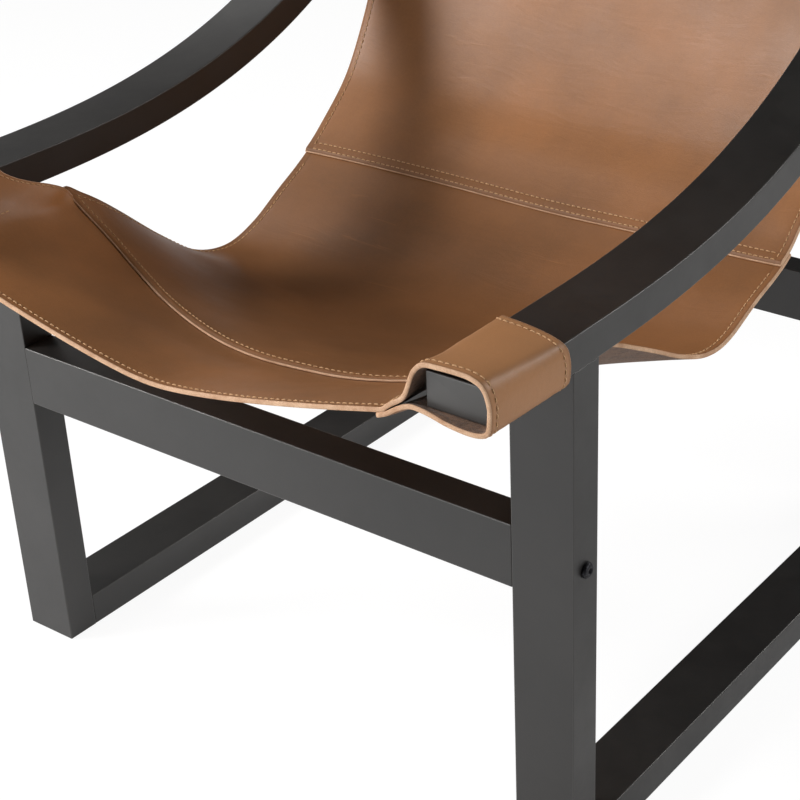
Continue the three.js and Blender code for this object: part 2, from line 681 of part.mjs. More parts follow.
// One crosswise row of a band, from its middle out to the end of the flap. share is 0 at the mouth.
function bandHalf(mouth, stationOf, side, share) {
  const lay = (x, away, up) => {
    const place = inMouth(mouth, away, up);
    return new THREE.Vector3(side * x, place.y, place.z);
  };
  const jointAt = (part) => {
    const x = THREE.MathUtils.lerp(INNER_FACE - RISE_WIDTH, INNER_FACE + SHOULDER_INSET, part);
    return bandPoint(side * x, part * rearStation(x), stationOf);
  };
  const joint = jointAt(share);
  const row = [];
  for (let k = 0; k <= BAND_COLUMNS; k++) {
    const x = (Math.abs(joint.x) * k) / BAND_COLUMNS;
    row.push(bandPoint(side * x, share * rearStation(x), stationOf));
  }
  const offset = joint.clone().sub(jointAt(0).lerp(jointAt(1), share));
  RISE_MOUTH_SHARES.forEach(([x0, up0, away0], m) => {
    const [x1, up1, away1] = RISE_SHOULDER_SHARES[m];
    const at = (a, b) => THREE.MathUtils.lerp(a, b, share);
    const point = lay(
      INNER_FACE + at(x0, x1) * ARM_THICKNESS,
      at(away0, away1) * SLEEVE_LENGTH,
      at(up0, up1) * ARM_THICKNESS
    );
    row.push(point.addScaledVector(offset, 1 - (m + 1) / (RISE_MOUTH_SHARES.length + 1)));
  });
  const loop = sleeveLoop();
  loop.forEach(({ x, up }) => row.push(lay(x, share * SLEEVE_LENGTH, up)));
  const flapStation = share * FLAP_STATIONS;
  const flapX = THREE.MathUtils.lerp(Math.abs(jointAt(0).x), INNER_FACE, flapStation / 2) - LEATHER;
  const inner = bandPoint(side * flapX, flapStation, stationOf, -LAP);
  const outer = row.at(-1);
  for (const part of [0.4, 0.75]) row.push(outer.clone().lerp(inner, part));
  row.push(inner);
  row.push(bandPoint(side * (flapX - FLAP_LENGTH), flapStation, stationOf, -LAP));
  return row;
}

// How far under the next panel a band reaches, in stations from its mouth edge
function rearStation(x) {
  const out = Math.abs(x) / INNER_FACE;
  return CORNER_STATION + BAND_HIDDEN_STATIONS - SHOULDER_STATIONS * out ** SHOULDER_CURVE;
}

function bandPoint(x, fromMouth, stationOf, extra = 0) {
  const under = THREE.MathUtils.smoothstep(fromMouth, CORNER_STATION / 2, CORNER_STATION - TUCK_STATIONS);
  return layer(x, stationOf(fromMouth), extra - (LAP / 2) * under);
}

function bandGrid(mouth, stationOf) {
  const grid = [];
  for (let i = 0; i <= BAND_ROWS; i++) {
    const share = i / BAND_ROWS;
    const left = bandHalf(mouth, stationOf, -1, share).reverse();
    const right = bandHalf(mouth, stationOf, 1, share);
    grid.push([...left, ...right.slice(1)]);
  }
  return grid;
}

function addBands() {
  const front = bandGrid(FRONT_MOUTH, (fromMouth) => fromMouth);
  addPiece("front_band", sheetSolid(front), "saddle_leather");
  const top = bandGrid(TOP_MOUTH, (fromMouth) => LAST_STATION - fromMouth);
  addPiece("top_band", sheetSolid(top), "saddle_leather");
}

for (const [name, side] of [["left", -1], ["right", 1]]) {
  addSideFrame(name, side);
  addTenons(name, side);
  addGlides(name, side);
}
for (const [name, joint] of Object.entries(JOINTS)) {
  addRail(name, joint);
  addFastenings(name, joint);
}
addPanels();
addBands();

// The origin is on the floor, under the middle of the chair's box
const extent = new THREE.Box3().setFromObject(chair, true);
chair.position.set(0, -(extent.min.y + extent.max.y) / 2, -extent.min.z);

export default group;
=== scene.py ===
"""Leather sling lounge chair: looped side frames in satin black, joined by rails, and a sewn leather sling.

Lengths in the tables are millimetres in the chair's own frame: x across, y back from the front legs' front
face, z up from under the legs. place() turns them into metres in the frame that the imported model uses.
"""

import json
import math

import bpy
import numpy as np
from mathutils import Matrix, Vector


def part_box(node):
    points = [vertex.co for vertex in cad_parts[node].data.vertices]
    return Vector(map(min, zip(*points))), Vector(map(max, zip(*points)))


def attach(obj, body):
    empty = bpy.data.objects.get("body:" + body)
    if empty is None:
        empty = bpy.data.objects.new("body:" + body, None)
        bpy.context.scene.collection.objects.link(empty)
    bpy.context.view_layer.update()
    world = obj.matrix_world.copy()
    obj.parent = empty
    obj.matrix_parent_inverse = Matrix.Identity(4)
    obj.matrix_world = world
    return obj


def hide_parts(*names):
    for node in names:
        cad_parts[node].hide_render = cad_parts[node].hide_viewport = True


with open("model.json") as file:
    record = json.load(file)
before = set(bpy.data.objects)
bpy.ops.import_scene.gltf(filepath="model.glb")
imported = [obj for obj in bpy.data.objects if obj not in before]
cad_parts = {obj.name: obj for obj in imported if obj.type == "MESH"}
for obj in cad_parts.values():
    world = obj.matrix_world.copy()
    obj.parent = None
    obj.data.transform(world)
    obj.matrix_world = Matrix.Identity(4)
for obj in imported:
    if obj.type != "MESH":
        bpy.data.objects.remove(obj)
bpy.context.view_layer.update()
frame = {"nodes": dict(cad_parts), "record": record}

MM = 0.001


def box_of(node):
    """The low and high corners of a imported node's box, in millimetres."""
    return np.array(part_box(node)) / MM


# Places read from the frame
LEG_LOW, LEG_HIGH = box_of("front_leg_right")
REAR_LOW, REAR_HIGH = box_of("rear_leg_right")
ARM_LOW = box_of("arm_post_right")[0]
ORIGIN = np.array([0.0, LEG_LOW[1], LEG_LOW[2]])
HALF_WIDTH = LEG_HIGH[0]
INNER_FACE = LEG_LOW[0]
MEMBER_WIDTH = HALF_WIDTH - INNER_FACE
MEMBER_MIDDLE = (HALF_WIDTH + INNER_FACE) / 2
MEMBER_DEPTH = LEG_HIGH[1] - LEG_LOW[1]
BASE_DEPTH = REAR_HIGH[1] - LEG_LOW[1]
REAR_LEG_FRONT = REAR_LOW[1] - LEG_LOW[1]
POST_TOP = REAR_HIGH[2] - LEG_LOW[2]
ARM_TIP = ARM_LOW[1] - LEG_LOW[1]
ARM_UNDERSIDE = LEG_HIGH[2] - LEG_LOW[2]
ARM_THICKNESS = 30.0
ARM_HEIGHT = ARM_UNDERSIDE + ARM_THICKNESS
BACK_ANGLE = math.radians(52)
ARM_CURVE_SHARE = 1.5
POST_STRAIGHT = 186.0
# The front part of the arm that keeps its own short rings
ARM_TIP_LENGTH = 20.0
# Radii of the wood's eased edges: along the bars, at their ends, at the arm's lower edges and at its tip
EASED_EDGE, EASED_END = 1.1, 0.6
ARM_LOWER_EDGE, ARM_END = 1.0, 1.2
SMALLEST_ROUND = 0.05
BAR_RINGS = 14
ARM_TIP_RINGS = 8

# Sizes of the leather
LEATHER = 4.0
LAP = LEATHER + 0.3
SLING_HALF = 295.0
SLEEVE_LENGTH = 96.0
SLEEVE_REACH = 5.0
TOP_SLEEVE_DROP = 54.0
ROW_INSET = 7.0
BAND_ROW_INSET = 6.5
LOW_SEAM_ROW = 3.6
HIGH_SEAM_ROW = 11.8


def place(points):
    """Millimetres in the chair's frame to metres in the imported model's frame."""
    return (np.asarray(points, float) + ORIGIN) * MM


# Mesh tools


def unit(vectors):
    """Vectors of length one."""
    return vectors / np.maximum(np.linalg.norm(vectors, axis=-1, keepdims=True), 1e-9)


def grid_quads(rows, columns, start=0, closed=False):
    """Faces of a grid of rows by columns points. A closed grid joins its last column to its first."""
    numbers = start + np.arange(rows * columns).reshape(rows, columns)
    if closed:
        numbers = np.hstack([numbers, numbers[:, :1]])
    a, b = numbers[:-1, :-1], numbers[:-1, 1:]
    c, d = numbers[1:, 1:], numbers[1:, :-1]
    return np.stack([a, b, c, d], axis=-1).reshape(-1, 4)


def add_object(name, data):
    made = bpy.data.objects.new(name, data)
    bpy.context.scene.collection.objects.link(made)
    return made


def make_piece(name, points, faces, finishes, finish_of_face=None, marks=None):
    """A mesh object in the chair's place that rides on the one body. marks are named values per point."""
    mesh = bpy.data.meshes.new(name)
    mesh.from_pydata(place(points).tolist(), [], [list(face) for face in faces])
    for finish in finishes:
        mesh.materials.append(finish)
    if finish_of_face is not None:
        mesh.polygons.foreach_set("material_index", np.asarray(finish_of_face, dtype=np.int32))
    for mark, values in (marks or {}).items():
        attribute = mesh.attributes.new(mark, "FLOAT", "POINT")
        attribute.data.foreach_set("value", np.asarray(values, dtype=np.float32))
    mesh.polygons.foreach_set("use_smooth", np.ones(len(mesh.polygons), dtype=bool))
    mesh.update()
    piece = add_object(name, mesh)
    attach(piece, "root")
    return piece


# Node tools


def put(tree, value, socket):
    """Links another node's output to the socket, or sets a plain value on it."""
    if isinstance(value, bpy.types.NodeSocket):
        tree.links.new(value, socket)
    else:
        socket.default_value = value


def feed(tree, value, node, socket):
    put(tree, value, node.inputs[socket])


def add_node(tree, kind, **values):
    """A node of that kind. A value goes to the property, or else the input socket, of that name."""
    node = tree.nodes.new(kind)
    for name, value in values.items():
        if hasattr(node, name):
            setattr(node, name, value)
        else:
            feed(tree, value, node, name.replace("_", " "))
    return node


def use_group(tree, group, **values):
    return add_node(tree, "ShaderNodeGroup", node_tree=group, **values)


def object_place(tree):
    """The Object coordinates, which stay with the chair."""
    return add_node(tree, "ShaderNodeTexCoord").outputs["Object"]


def stretched(tree, coordinates, scale, rotation=(0.0, 0.0, 0.0)):
    """The coordinates turned and stretched, so that a texture draws out along one way."""
    node = add_node(tree, "ShaderNodeMapping", Vector=coordinates, Scale=scale, Rotation=rotation)
    return node.outputs["Vector"]


def part_of(tree, vector, axis):
    return add_node(tree, "ShaderNodeSeparateXYZ", Vector=vector).outputs[axis]


def noise(tree, coordinates, scale, detail=3.0, roughness=0.5, distortion=0.0):
    node = add_node(tree, "ShaderNodeTexNoise", Vector=coordinates, Scale=scale, Detail=detail,
                    Roughness=roughness, Distortion=distortion)
    return node.outputs["Fac"]


def ramp(tree, value, low, high, from_value=0.0, to_value=1.0):
    """value carried from low..high to from_value..to_value, held at both ends."""
    node = add_node(tree, "ShaderNodeMapRange", clamp=True, Value=value, From_Min=low, From_Max=high,
                    To_Min=from_value, To_Max=to_value)
    return node.outputs["Result"]


def maths(tree, operation, first, second):
    node = add_node(tree, "ShaderNodeMath", operation=operation)
    put(tree, first, node.inputs[0])
    put(tree, second, node.inputs[1])
    return node.outputs["Value"]


def times(tree, first, second):
    return maths(tree, "MULTIPLY", first, second)


def weighted_sum(tree, first, *others):
    """The sum of values times their weights. Each term is a pair of a value and its weight."""
    total = times(tree, *first)
    for term in others:
        total = maths(tree, "ADD", total, times(tree, *term))
    return total


def blend(tree, share, first, second):
    """A mix of two colours by a share. A colour is a socket or four numbers."""
    node = add_node(tree, "ShaderNodeMix", data_type="RGBA", blend_type="MIX", Factor=share)
    for name, colour in (("A", first), ("B", second)):
        put(tree, colour, next(s for s in node.inputs if s.name == name and s.type == "RGBA"))
    return next(s for s in node.outputs if s.type == "RGBA")


def new_group(name, inputs, outputs):
    """A shader node group with float and colour sockets. Returns the group, its entrance and its exit."""
    group = bpy.data.node_groups.new(name, "ShaderNodeTree")
    for socket, kind, value in inputs:
        made = group.interface.new_socket(name=socket, in_out="INPUT", socket_type=kind)
        if value is not None:
            made.default_value = value
    for socket, kind in outputs:
        group.interface.new_socket(name=socket, in_out="OUTPUT", socket_type=kind)
    return group, group.nodes.new("NodeGroupInput"), group.nodes.new("NodeGroupOutput")


def rgb(red, green, blue):
    """A colour as seen, in values of 0 to 255, turned into the linear values that a shader takes."""
    seen = np.array([red, green, blue]) / 255
    linear = np.where(seen > 0.04045, ((seen + 0.055) / 1.055) ** 2.4, seen / 12.92)
    return (*(float(v) for v in linear), 1.0)


FLOAT, COLOUR = "NodeSocketFloat", "NodeSocketColor"


def mottle_group():
    """Two tones mixed by broad soft patches and by fine specks, so that a surface doesn't look flat."""
    group, entrance, leave = new_group(
        "mottled_tones",
        [("Deep", COLOUR, None), ("Light", COLOUR, None), ("Patch Scale", FLOAT, 9.0),
         ("Speck Scale", FLOAT, 260.0), ("Speck Share", FLOAT, 0.25)],
        [("Colour", COLOUR), ("Share", FLOAT)],
    )
    coordinates = object_place(group)
    patches = noise(group, coordinates, entrance.outputs["Patch Scale"], detail=4.0, roughness=0.55)
    specks = noise(group, coordinates, entrance.outputs["Speck Scale"], detail=2.0, roughness=0.6)
    broad = ramp(group, patches, 0.32, 0.68)
    fine = ramp(group, specks, 0.3, 0.7)
    speck_share = entrance.outputs["Speck Share"]
    rest = maths(group, "SUBTRACT", 1.0, speck_share)
    share = weighted_sum(group, (fine, speck_share), (broad, rest))
    colour = blend(group, share, entrance.outputs["Deep"], entrance.outputs["Light"])
    feed(group, colour, leave, "Colour")
    feed(group, share, leave, "Share")
    return group


def grain_group():
    """Leather grain: small rounded cells with creases between, drawn wrinkles and rare long hairlines."""
    group, entrance, leave = new_group(
        "leather_grain",
        [("Cell Scale", FLOAT, 900.0), ("Crease", FLOAT, 1.0), ("Hairlines", FLOAT, 1.0),
         ("Wrinkles", FLOAT, 1.0)],
        [("Height", FLOAT), ("Scars", FLOAT)],
    )
    coordinates = object_place(group)
    cells = add_node(group, "ShaderNodeTexVoronoi", feature="DISTANCE_TO_EDGE", Vector=coordinates,
                     Scale=entrance.outputs["Cell Scale"])
    pebble = ramp(group, cells.outputs["Distance"], 0.0, 0.35)
    broken = noise(group, coordinates, 420.0, detail=5.0, roughness=0.65)
    swell = noise(group, coordinates, 60.0, detail=3.0)
    slanting = stretched(group, coordinates, (3.0, 26.0, 18.0), (0.3, 0.2, 0.5))
    streak = noise(group, slanting, 3.0, detail=4.0, distortion=0.6)
    scars = times(group, ramp(group, streak, 0.685, 0.72), entrance.outputs["Hairlines"])
    drawn = stretched(group, coordinates, (7.0, 34.0, 22.0))
    wrinkles = noise(group, drawn, 2.2, detail=5.0, roughness=0.62, distortion=1.2)
    fine = times(group, pebble, entrance.outputs["Crease"])
    height = weighted_sum(group, (fine, 0.35), (broken, 0.5), (swell, 0.8),
                          (wrinkles, entrance.outputs["Wrinkles"]), (scars, -0.4))
    feed(group, height, leave, "Height")
    feed(group, scars, leave, "Scars")
    return group


def dust_group():
    """A faint pale film that lies on faces that look up, in soft patches."""
    group, entrance, leave = new_group(
        "settled_dust",
        [("Colour", COLOUR, None), ("Dust", COLOUR, None), ("Amount", FLOAT, 0.05)],
        [("Colour", COLOUR)],
    )
    up = part_of(group, add_node(group, "ShaderNodeNewGeometry").outputs["Normal"], "Z")
    patches = ramp(group, noise(group, object_place(group), 14.0, detail=5.0, roughness=0.7), 0.4, 0.75)
    share = times(group, ramp(group, up, 0.2, 1.0), patches)
    share = times(group, share, entrance.outputs["Amount"])
    colour = blend(group, share, entrance.outputs["Colour"], entrance.outputs["Dust"])
    feed(group, colour, leave, "Colour")
    return group


MOTTLE = mottle_group()
GRAIN = grain_group()
DUST = dust_group()


def new_material(name, **sockets):
    """A Principled material with its plain values set on the shader. Returns material, tree and shader."""
    material = bpy.data.materials.new(name)
    material.use_nodes = True
    tree = material.node_tree
    shader = tree.nodes["Principled BSDF"]
    for socket, value in sockets.items():
        feed(tree, value, shader, socket.replace("_", " "))
    return material, tree, shader


def toned(tree, shader, deep, light, patch_scale, speck_scale, speck_share):
    """Mottled tones on the shader's colour. Returns the share of the light tone over the surface."""
    tones = use_group(tree, MOTTLE, Deep=deep, Light=light, Patch_Scale=patch_scale, Speck_Scale=speck_scale,
                      Speck_Share=speck_share)
    feed(tree, tones.outputs["Colour"], shader, "Base Color")
    return tones.outputs["Share"]


def ramped(tree, shader, value, low, high, first, second):
    """The shader's colour from one tone to another as the value goes from low to high."""
    feed(tree, blend(tree, ramp(tree, value, low, high), first, second), shader, "Base Color")


def bump(tree, shader, height, distance, strength=1.0):
    node = add_node(tree, "ShaderNodeBump", Strength=strength, Distance=distance, Height=height)
    feed(tree, node.outputs["Normal"], shader, "Normal")


def mark_value(tree, name):
    return add_node(tree, "ShaderNodeAttribute", attribute_name=name).outputs["Fac"]


# Materials

# Heights in metres between which the leather is painted darker toward the hollow of the seat: painted shade,
# full below the lower height
SHADED_HOLLOW_HEIGHTS = (0.345, 0.445)
HOLLOW_SHADE_SHARE = 0.42
# The tone toward which the leather is painted paler where it is drawn round an arm: partly the pull-up of
# waxed leather, partly painted light on the sleeves
SLEEVE_PALE_AND_LIT_TONE = rgb(206, 158, 116)
SLEEVE_PALE_AND_LIT_SHARE = 0.3


# dark_edge_and_shade is the tone of the darker rim and of the painted shade in the hollow and the stitch
# grooves
def saddle_leather(name, deep, light, dark_edge_and_shade):
    """Waxed brown leather: mottled tones, painted shade toward the hollow of the seat and along the stitch
    grooves, darker at the rim, and paler round the arms (partly pull-up of waxed leather, partly painted
    light), with fine grain."""
    material, tree, shader = new_material(name, Specular_IOR_Level=0.36, Coat_Weight=0.0, Sheen_Weight=0.0)
    tones = use_group(tree, MOTTLE, Deep=deep, Light=light, Patch_Scale=7.0, Speck_Scale=340.0,
                      Speck_Share=0.18)
    coordinates = object_place(tree)
    # Painted shade: the lower the leather lies toward the hollow of the seat, the darker it is painted
    hollow_shade = ramp(tree, part_of(tree, coordinates, "Z"), *SHADED_HOLLOW_HEIGHTS, 1.0, 0.0)
    grain = use_group(tree, GRAIN, Cell_Scale=820.0, Crease=1.0, Hairlines=1.0, Wrinkles=2.0)
    # Painted shade: the leather is painted darker along the grooves under the rows of stitches
    groove_shade = ramp(tree, mark_value(tree, "row_distance"), 0.0, 1.5, 1.0, 0.0)
    rim = ramp(tree, mark_value(tree, "edge_distance"), 0.0, 3.0, 1.0, 0.0)
    colour = tones.outputs["Colour"]
    for mask, share, tone in (
        (hollow_shade, HOLLOW_SHADE_SHARE, dark_edge_and_shade),
        (mark_value(tree, "drawn"), SLEEVE_PALE_AND_LIT_SHARE, SLEEVE_PALE_AND_LIT_TONE),
        (groove_shade, 0.22, dark_edge_and_shade),
        (rim, 0.35, dark_edge_and_shade),
        (grain.outputs["Scars"], 0.25, light),
    ):
        colour = blend(tree, times(tree, mask, share), colour, tone)
    feed(tree, colour, shader, "Base Color")
    wear = noise(tree, coordinates, 12.0, detail=5.0, roughness=0.6)
    worn = ramp(tree, wear, 0.3, 0.7, 0.35, 0.46)
    feed(tree, maths(tree, "ADD", worn, times(tree, rim, 0.3)), shader, "Roughness")
    bump(tree, shader, grain.outputs["Height"], 0.0002, 0.6)
    return material


def leather_edge():
    """The cut edge: pale fibres in layers that follow the sheet, a little rubbed."""
    material, tree, shader = new_material("leather_cut_edge", Roughness=0.75, Specular_IOR_Level=0.25)
    toned(tree, shader, rgb(176, 132, 100), rgb(226, 190, 158), 60.0, 900.0, 0.45)
    bump(tree, shader, noise(tree, object_place(tree), 1500.0, detail=4.0, roughness=0.7), 0.0003, 0.6)
    return material


def leather_flesh():
    """The flesh side: short suede nap, dull and a little greyer, with darker rubbed patches."""
    material, tree, shader = new_material("leather_flesh_side", Roughness=0.92, Specular_IOR_Level=0.15,
                                          Sheen_Weight=0.25, Sheen_Roughness=0.5)
    toned(tree, shader, rgb(84, 58, 42), rgb(150, 112, 84), 70.0, 430.0, 0.6)
    coordinates = object_place(tree)
    nap = maths(tree, "ADD", noise(tree, coordinates, 1100.0, detail=5.0, roughness=0.75),
                noise(tree, coordinates, 160.0, detail=3.0))
    bump(tree, shader, nap, 0.0007, 0.9)
    return material


def waxed_thread():
    """Waxed tan thread: three twisted plies, darker where they meet."""
    material, tree, shader = new_material("waxed_thread", Roughness=0.55, Specular_IOR_Level=0.4)
    plies = ramp(tree, noise(tree, object_place(tree), 1400.0, detail=2.0), 0.35, 0.65)
    feed(tree, blend(tree, plies, rgb(176, 130, 88), rgb(230, 190, 144)), shader, "Base Color")
    bump(tree, shader, plies, 0.0002, 0.6)
    return material


def satin_black():
    """Black lacquer on sanded wood: soft orange peel, eased edges painted lighter as a painted highlight,
    and a trace of dust.
    """
    material, tree, shader = new_material("satin_black_paint", Specular_IOR_Level=0.5, Coat_Weight=0.35,
                                          Coat_Roughness=0.3)
    tones = use_group(tree, MOTTLE, Deep=rgb(27, 26, 25), Light=rgb(36, 34, 33), Patch_Scale=10.0,
                      Speck_Scale=500.0, Speck_Share=0.3)
    dusty = use_group(tree, DUST, Colour=tones.outputs["Colour"], Dust=rgb(120, 116, 110), Amount=0.05)
    # Painted highlight: the eased edges get a lighter tone, as the light line that their small rounds catch
    eased = times(tree, mark_value(tree, "eased_edge"), 0.35)
    colour = blend(tree, eased, dusty.outputs["Colour"], rgb(92, 90, 88))
    feed(tree, colour, shader, "Base Color")
    coordinates = object_place(tree)
    wear = noise(tree, coordinates, 22.0, detail=5.0, roughness=0.65)
    feed(tree, ramp(tree, wear, 0.3, 0.7, 0.36, 0.48), shader, "Roughness")
    peel = weighted_sum(tree, (noise(tree, coordinates, 380.0, detail=2.0), 1.0),
                        (noise(tree, coordinates, 90.0, detail=4.0), 0.6))
    bump(tree, shader, peel, 0.00012, 0.35)
    return material


def black_oxide():
    """Blackened steel: nearly black metal, its film thinner in specks."""
    material, tree, shader = new_material("black_oxide_steel", Metallic=0.85)
    specks = noise(tree, object_place(tree), 700.0, detail=4.0, roughness=0.7)
    ramped(tree, shader, specks, 0.45, 0.8, rgb(40, 40, 43), rgb(88, 88, 92))
    feed(tree, ramp(tree, specks, 0.3, 0.7, 0.32, 0.5), shader, "Roughness")
    bump(tree, shader, specks, 0.0001, 0.3)
    return material


def mottled(name, deep, light, scales, smooth, dull, **sockets):
    """A plain material in mottled tones, duller where it is lighter."""
    material, tree, shader = new_material(name, **sockets)
    share = toned(tree, shader, deep, light, *scales)
    feed(tree, ramp(tree, share, 0.0, 1.0, smooth, dull), shader, "Roughness")
    return material


def zinc_plate():
    """Bright zinc with a faint crystalline mottle."""
    return mottled("zinc_plated_steel", rgb(168, 170, 176), rgb(208, 210, 214), (90.0, 900.0, 0.4),
                   0.28, 0.42, Metallic=1.0)


def bare_beech():
    """Bare beech: pale fibres along the piece with short darker flecks."""
    material, tree, shader = new_material("bare_beech", Roughness=0.68)
    fibres = stretched(tree, object_place(tree), (4.0, 40.0, 40.0))
    streaks = noise(tree, fibres, 14.0, detail=5.0, roughness=0.6)
    ramped(tree, shader, streaks, 0.35, 0.7, rgb(206, 164, 116), rgb(160, 112, 72))
    bump(tree, shader, streaks, 0.0002, 0.4)
    return material


def dark_nylon():
    """Moulded dark nylon, scuffed dull where it slides."""
    return mottled("dark_nylon", rgb(30, 30, 33), rgb(58, 58, 62), (70.0, 800.0, 0.4), 0.45, 0.7,
                   Specular_IOR_Level=0.45)


GRAIN_SIDE = saddle_leather("saddle_leather", rgb(133, 91, 57), rgb(170, 114, 69), rgb(78, 53, 36))
LEATHER_FINISHES = [GRAIN_SIDE, leather_edge(), leather_flesh()]
THREAD_FINISH = waxed_thread()
PAINT = satin_black()
BLACK_STEEL = black_oxide()

FINISH_OF_SLOT = {
    "painted_wood": PAINT,
    "saddle_leather": GRAIN_SIDE,
    "black_steel": BLACK_STEEL,
    "zinc_steel": zinc_plate(),
    "beech": bare_beech(),
    "nylon": dark_nylon(),
}


def dress_frame():
    """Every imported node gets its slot's finish."""
    for part in frame["record"]["subparts"]:
        node = frame["nodes"][part["node"]]
        node.data.materials.clear()
        node.data.materials.append(FINISH_OF_SLOT[part["material_slot"]])


# Painted wood


def eased_section(width, depth, upper, lower, inset=0.0, steps=5, support=0.5):
    """A rectangle with quarter-round corners, anticlockwise from the upper right, as places across and up.

    upper and lower are the radii of the upper and lower corners. inset draws the whole outline inward.
    A support point beside each corner keeps the flats flat under smooth shading.
    The second result is 1 on the rounds and 0 on the flats.
    """
    outline, eased = [], []
    for quarter, (x_sign, y_sign, radius) in enumerate(
        [(1, 1, upper), (-1, 1, upper), (-1, -1, lower), (1, -1, lower)]
    ):
        radius = max(radius - inset, SMALLEST_ROUND)
        x, y = x_sign * (width / 2 - inset - radius), y_sign * (depth / 2 - inset - radius)
        turns = math.pi / 2 * (quarter + np.linspace(0, 1, steps + 1))
        arc = np.stack([x + radius * np.cos(turns), y + radius * np.sin(turns)], axis=1)
        before = arc[0] - support * np.array([-math.sin(turns[0]), math.cos(turns[0])])
        after = arc[-1] + support * np.array([-math.sin(turns[-1]), math.cos(turns[-1])])
        outline += [before, *arc, after]
        eased += [0.0, *(0.5 + 0.5 * np.sin(math.pi * np.linspace(0, 1, steps + 1))), 0.0]
    return np.array(outline), np.array(eased)


def end_rings(length, radius, steps=4, support=0.5):
    """Places along a bar and how far its outline is drawn in there, so that both ends are rounded over."""
    turns = np.linspace(0, math.pi / 2, steps + 1)
    places = radius * (1 - np.sin(turns[::-1]))
    insets = radius * (1 - np.cos(turns[::-1]))
    places = np.concatenate([places, [radius + support]])
    insets = np.concatenate([insets, [0.0]])
    middle = np.linspace(radius + support, length - radius - support, BAR_RINGS)[1:-1]
    return (
        np.concatenate([places, middle, length - places[::-1]]),
        np.concatenate([insets, np.zeros(len(middle)), insets[::-1]]),
    )


def skin(rings):
    """Rings of points joined into a closed skin with flat ends."""
    count, size = rings.shape[:2]
    faces = [tuple(quad) for quad in grid_quads(count, size, closed=True)]
    faces.append(tuple(range(size))[::-1])
    faces.append(tuple((count - 1) * size + np.arange(size)))
    return rings.reshape(-1, 3), faces


def outward(points, faces):
    """The faces turned so that the skin's volume is positive."""
    volume = 0.0
    for face in faces:
        corners = points[list(face)]
        volume += float(np.sum(np.cross(corners[1:-1] - corners[0], corners[2:] - corners[0]) * corners[0]))
    return faces if volume > 0 else [tuple(face)[::-1] for face in faces]


def wood_piece(node, rings, marks):
    """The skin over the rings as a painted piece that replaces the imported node."""
    points, faces = skin(np.array(rings))
    piece = make_piece(f"{node}_wood", points, outward(points, faces), [PAINT],
                       marks={"eased_edge": np.concatenate(marks)})
    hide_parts(node)


def wood_bar(node, axis):
    """A straight bar over the whole of a packed bar's box, with eased long edges and lightly eased ends."""
    low, high = box_of(node) - ORIGIN
    size, middle = high - low, (high + low) / 2
    across, up = [k for k in range(3) if k != axis]
    places, insets = end_rings(size[axis], EASED_END)
    rings, marks = [], []
    for along, inset in zip(places, insets):
        outline, eased = eased_section(size[across], size[up], EASED_EDGE, EASED_EDGE, inset)
        ring = np.zeros((len(outline), 3))
        ring[:, across] = middle[across] + outline[:, 0]
        ring[:, up] = middle[up] + outline[:, 1]
        ring[:, axis] = low[axis] + along
        rings.append(ring)
        marks.append(np.maximum(eased, float(0 < inset < EASED_END)))
    wood_piece(node, rings, marks)


def arm_line(steps=150):
    """The arm's top line as places back, places up and slopes.

    The slope grows with the share of the bend done, to the power ARM_CURVE_SHARE, up to the back's slope.
    """
    share = (np.arange(steps) + 0.5) / steps
    slopes = BACK_ANGLE * share**ARM_CURVE_SHARE
    reach = REAR_LEG_FRONT - POST_STRAIGHT * math.cos(BACK_ANGLE) - MEMBER_DEPTH
    step = reach / np.cos(slopes).sum()
    back = MEMBER_DEPTH + np.concatenate([[0], np.cumsum(np.cos(slopes)) * step])
    up = ARM_HEIGHT + np.concatenate([[0], np.cumsum(np.sin(slopes)) * step])
    return back, up, BACK_ANGLE * (np.arange(steps + 1) / steps) ** ARM_CURVE_SHARE


def arm_post(side, name):
    """The bent arm and post: an eased section carried along the arm line to the rear leg."""
    back, up, slopes = arm_line()
    places, insets = end_rings(BASE_DEPTH, ARM_END)
    first = places < ARM_TIP_LENGTH
    rings, marks = [], []

    def ring(y, z, slope, inset=0.0, shear=False):
        outline, eased = eased_section(MEMBER_WIDTH, ARM_THICKNESS, EASED_EDGE, ARM_LOWER_EDGE, inset)
        drop = ARM_THICKNESS / 2 - outline[:, 1]
        x = side * (MEMBER_MIDDLE + side * outline[:, 0])
        if shear:
            points = np.stack([x, np.full(len(x), y), z - drop / math.cos(slope)], axis=1)
        else:
            points = np.stack([x, y + drop * math.sin(slope), z - drop * math.cos(slope)], axis=1)
        rings.append(points)
        marks.append(np.maximum(eased, float(0 < inset < ARM_END)))

    for along, inset in zip(places[first], insets[first]):
        ring(ARM_TIP + along, ARM_HEIGHT, 0.0, inset)
    for y in np.linspace(ARM_TIP + ARM_TIP_LENGTH, MEMBER_DEPTH, ARM_TIP_RINGS)[:-1]:
        ring(y, ARM_HEIGHT, 0.0)
    for y, z, slope in zip(back, up, slopes):
        ring(y, z, slope)
    ring(REAR_LEG_FRONT, POST_TOP, BACK_ANGLE, shear=True)
    wood_piece(f"arm_post_{name}", rings, marks)


def build_wood():
    for name, side in (("left", -1), ("right", 1)):
        arm_post(side, name)
        wood_bar(f"front_leg_{name}", 2)
        wood_bar(f"rear_leg_{name}", 2)
        wood_bar(f"floor_runner_{name}", 1)
    wood_bar("front_rail", 0)
    wood_bar("rear_rail", 0)


# Bolts

BOLT_HEAD = 7.0
BOLT_HEAD_HEIGHT = 4.4
BOLT_HEAD_FLAT = 3.9
BOLT_RIM = 1.0
BOLT_SHANK = 4.0
SOCKET_APOTHEM = 2.5
SOCKET_DEPTH = 2.6
BOLT_SIDES = 48


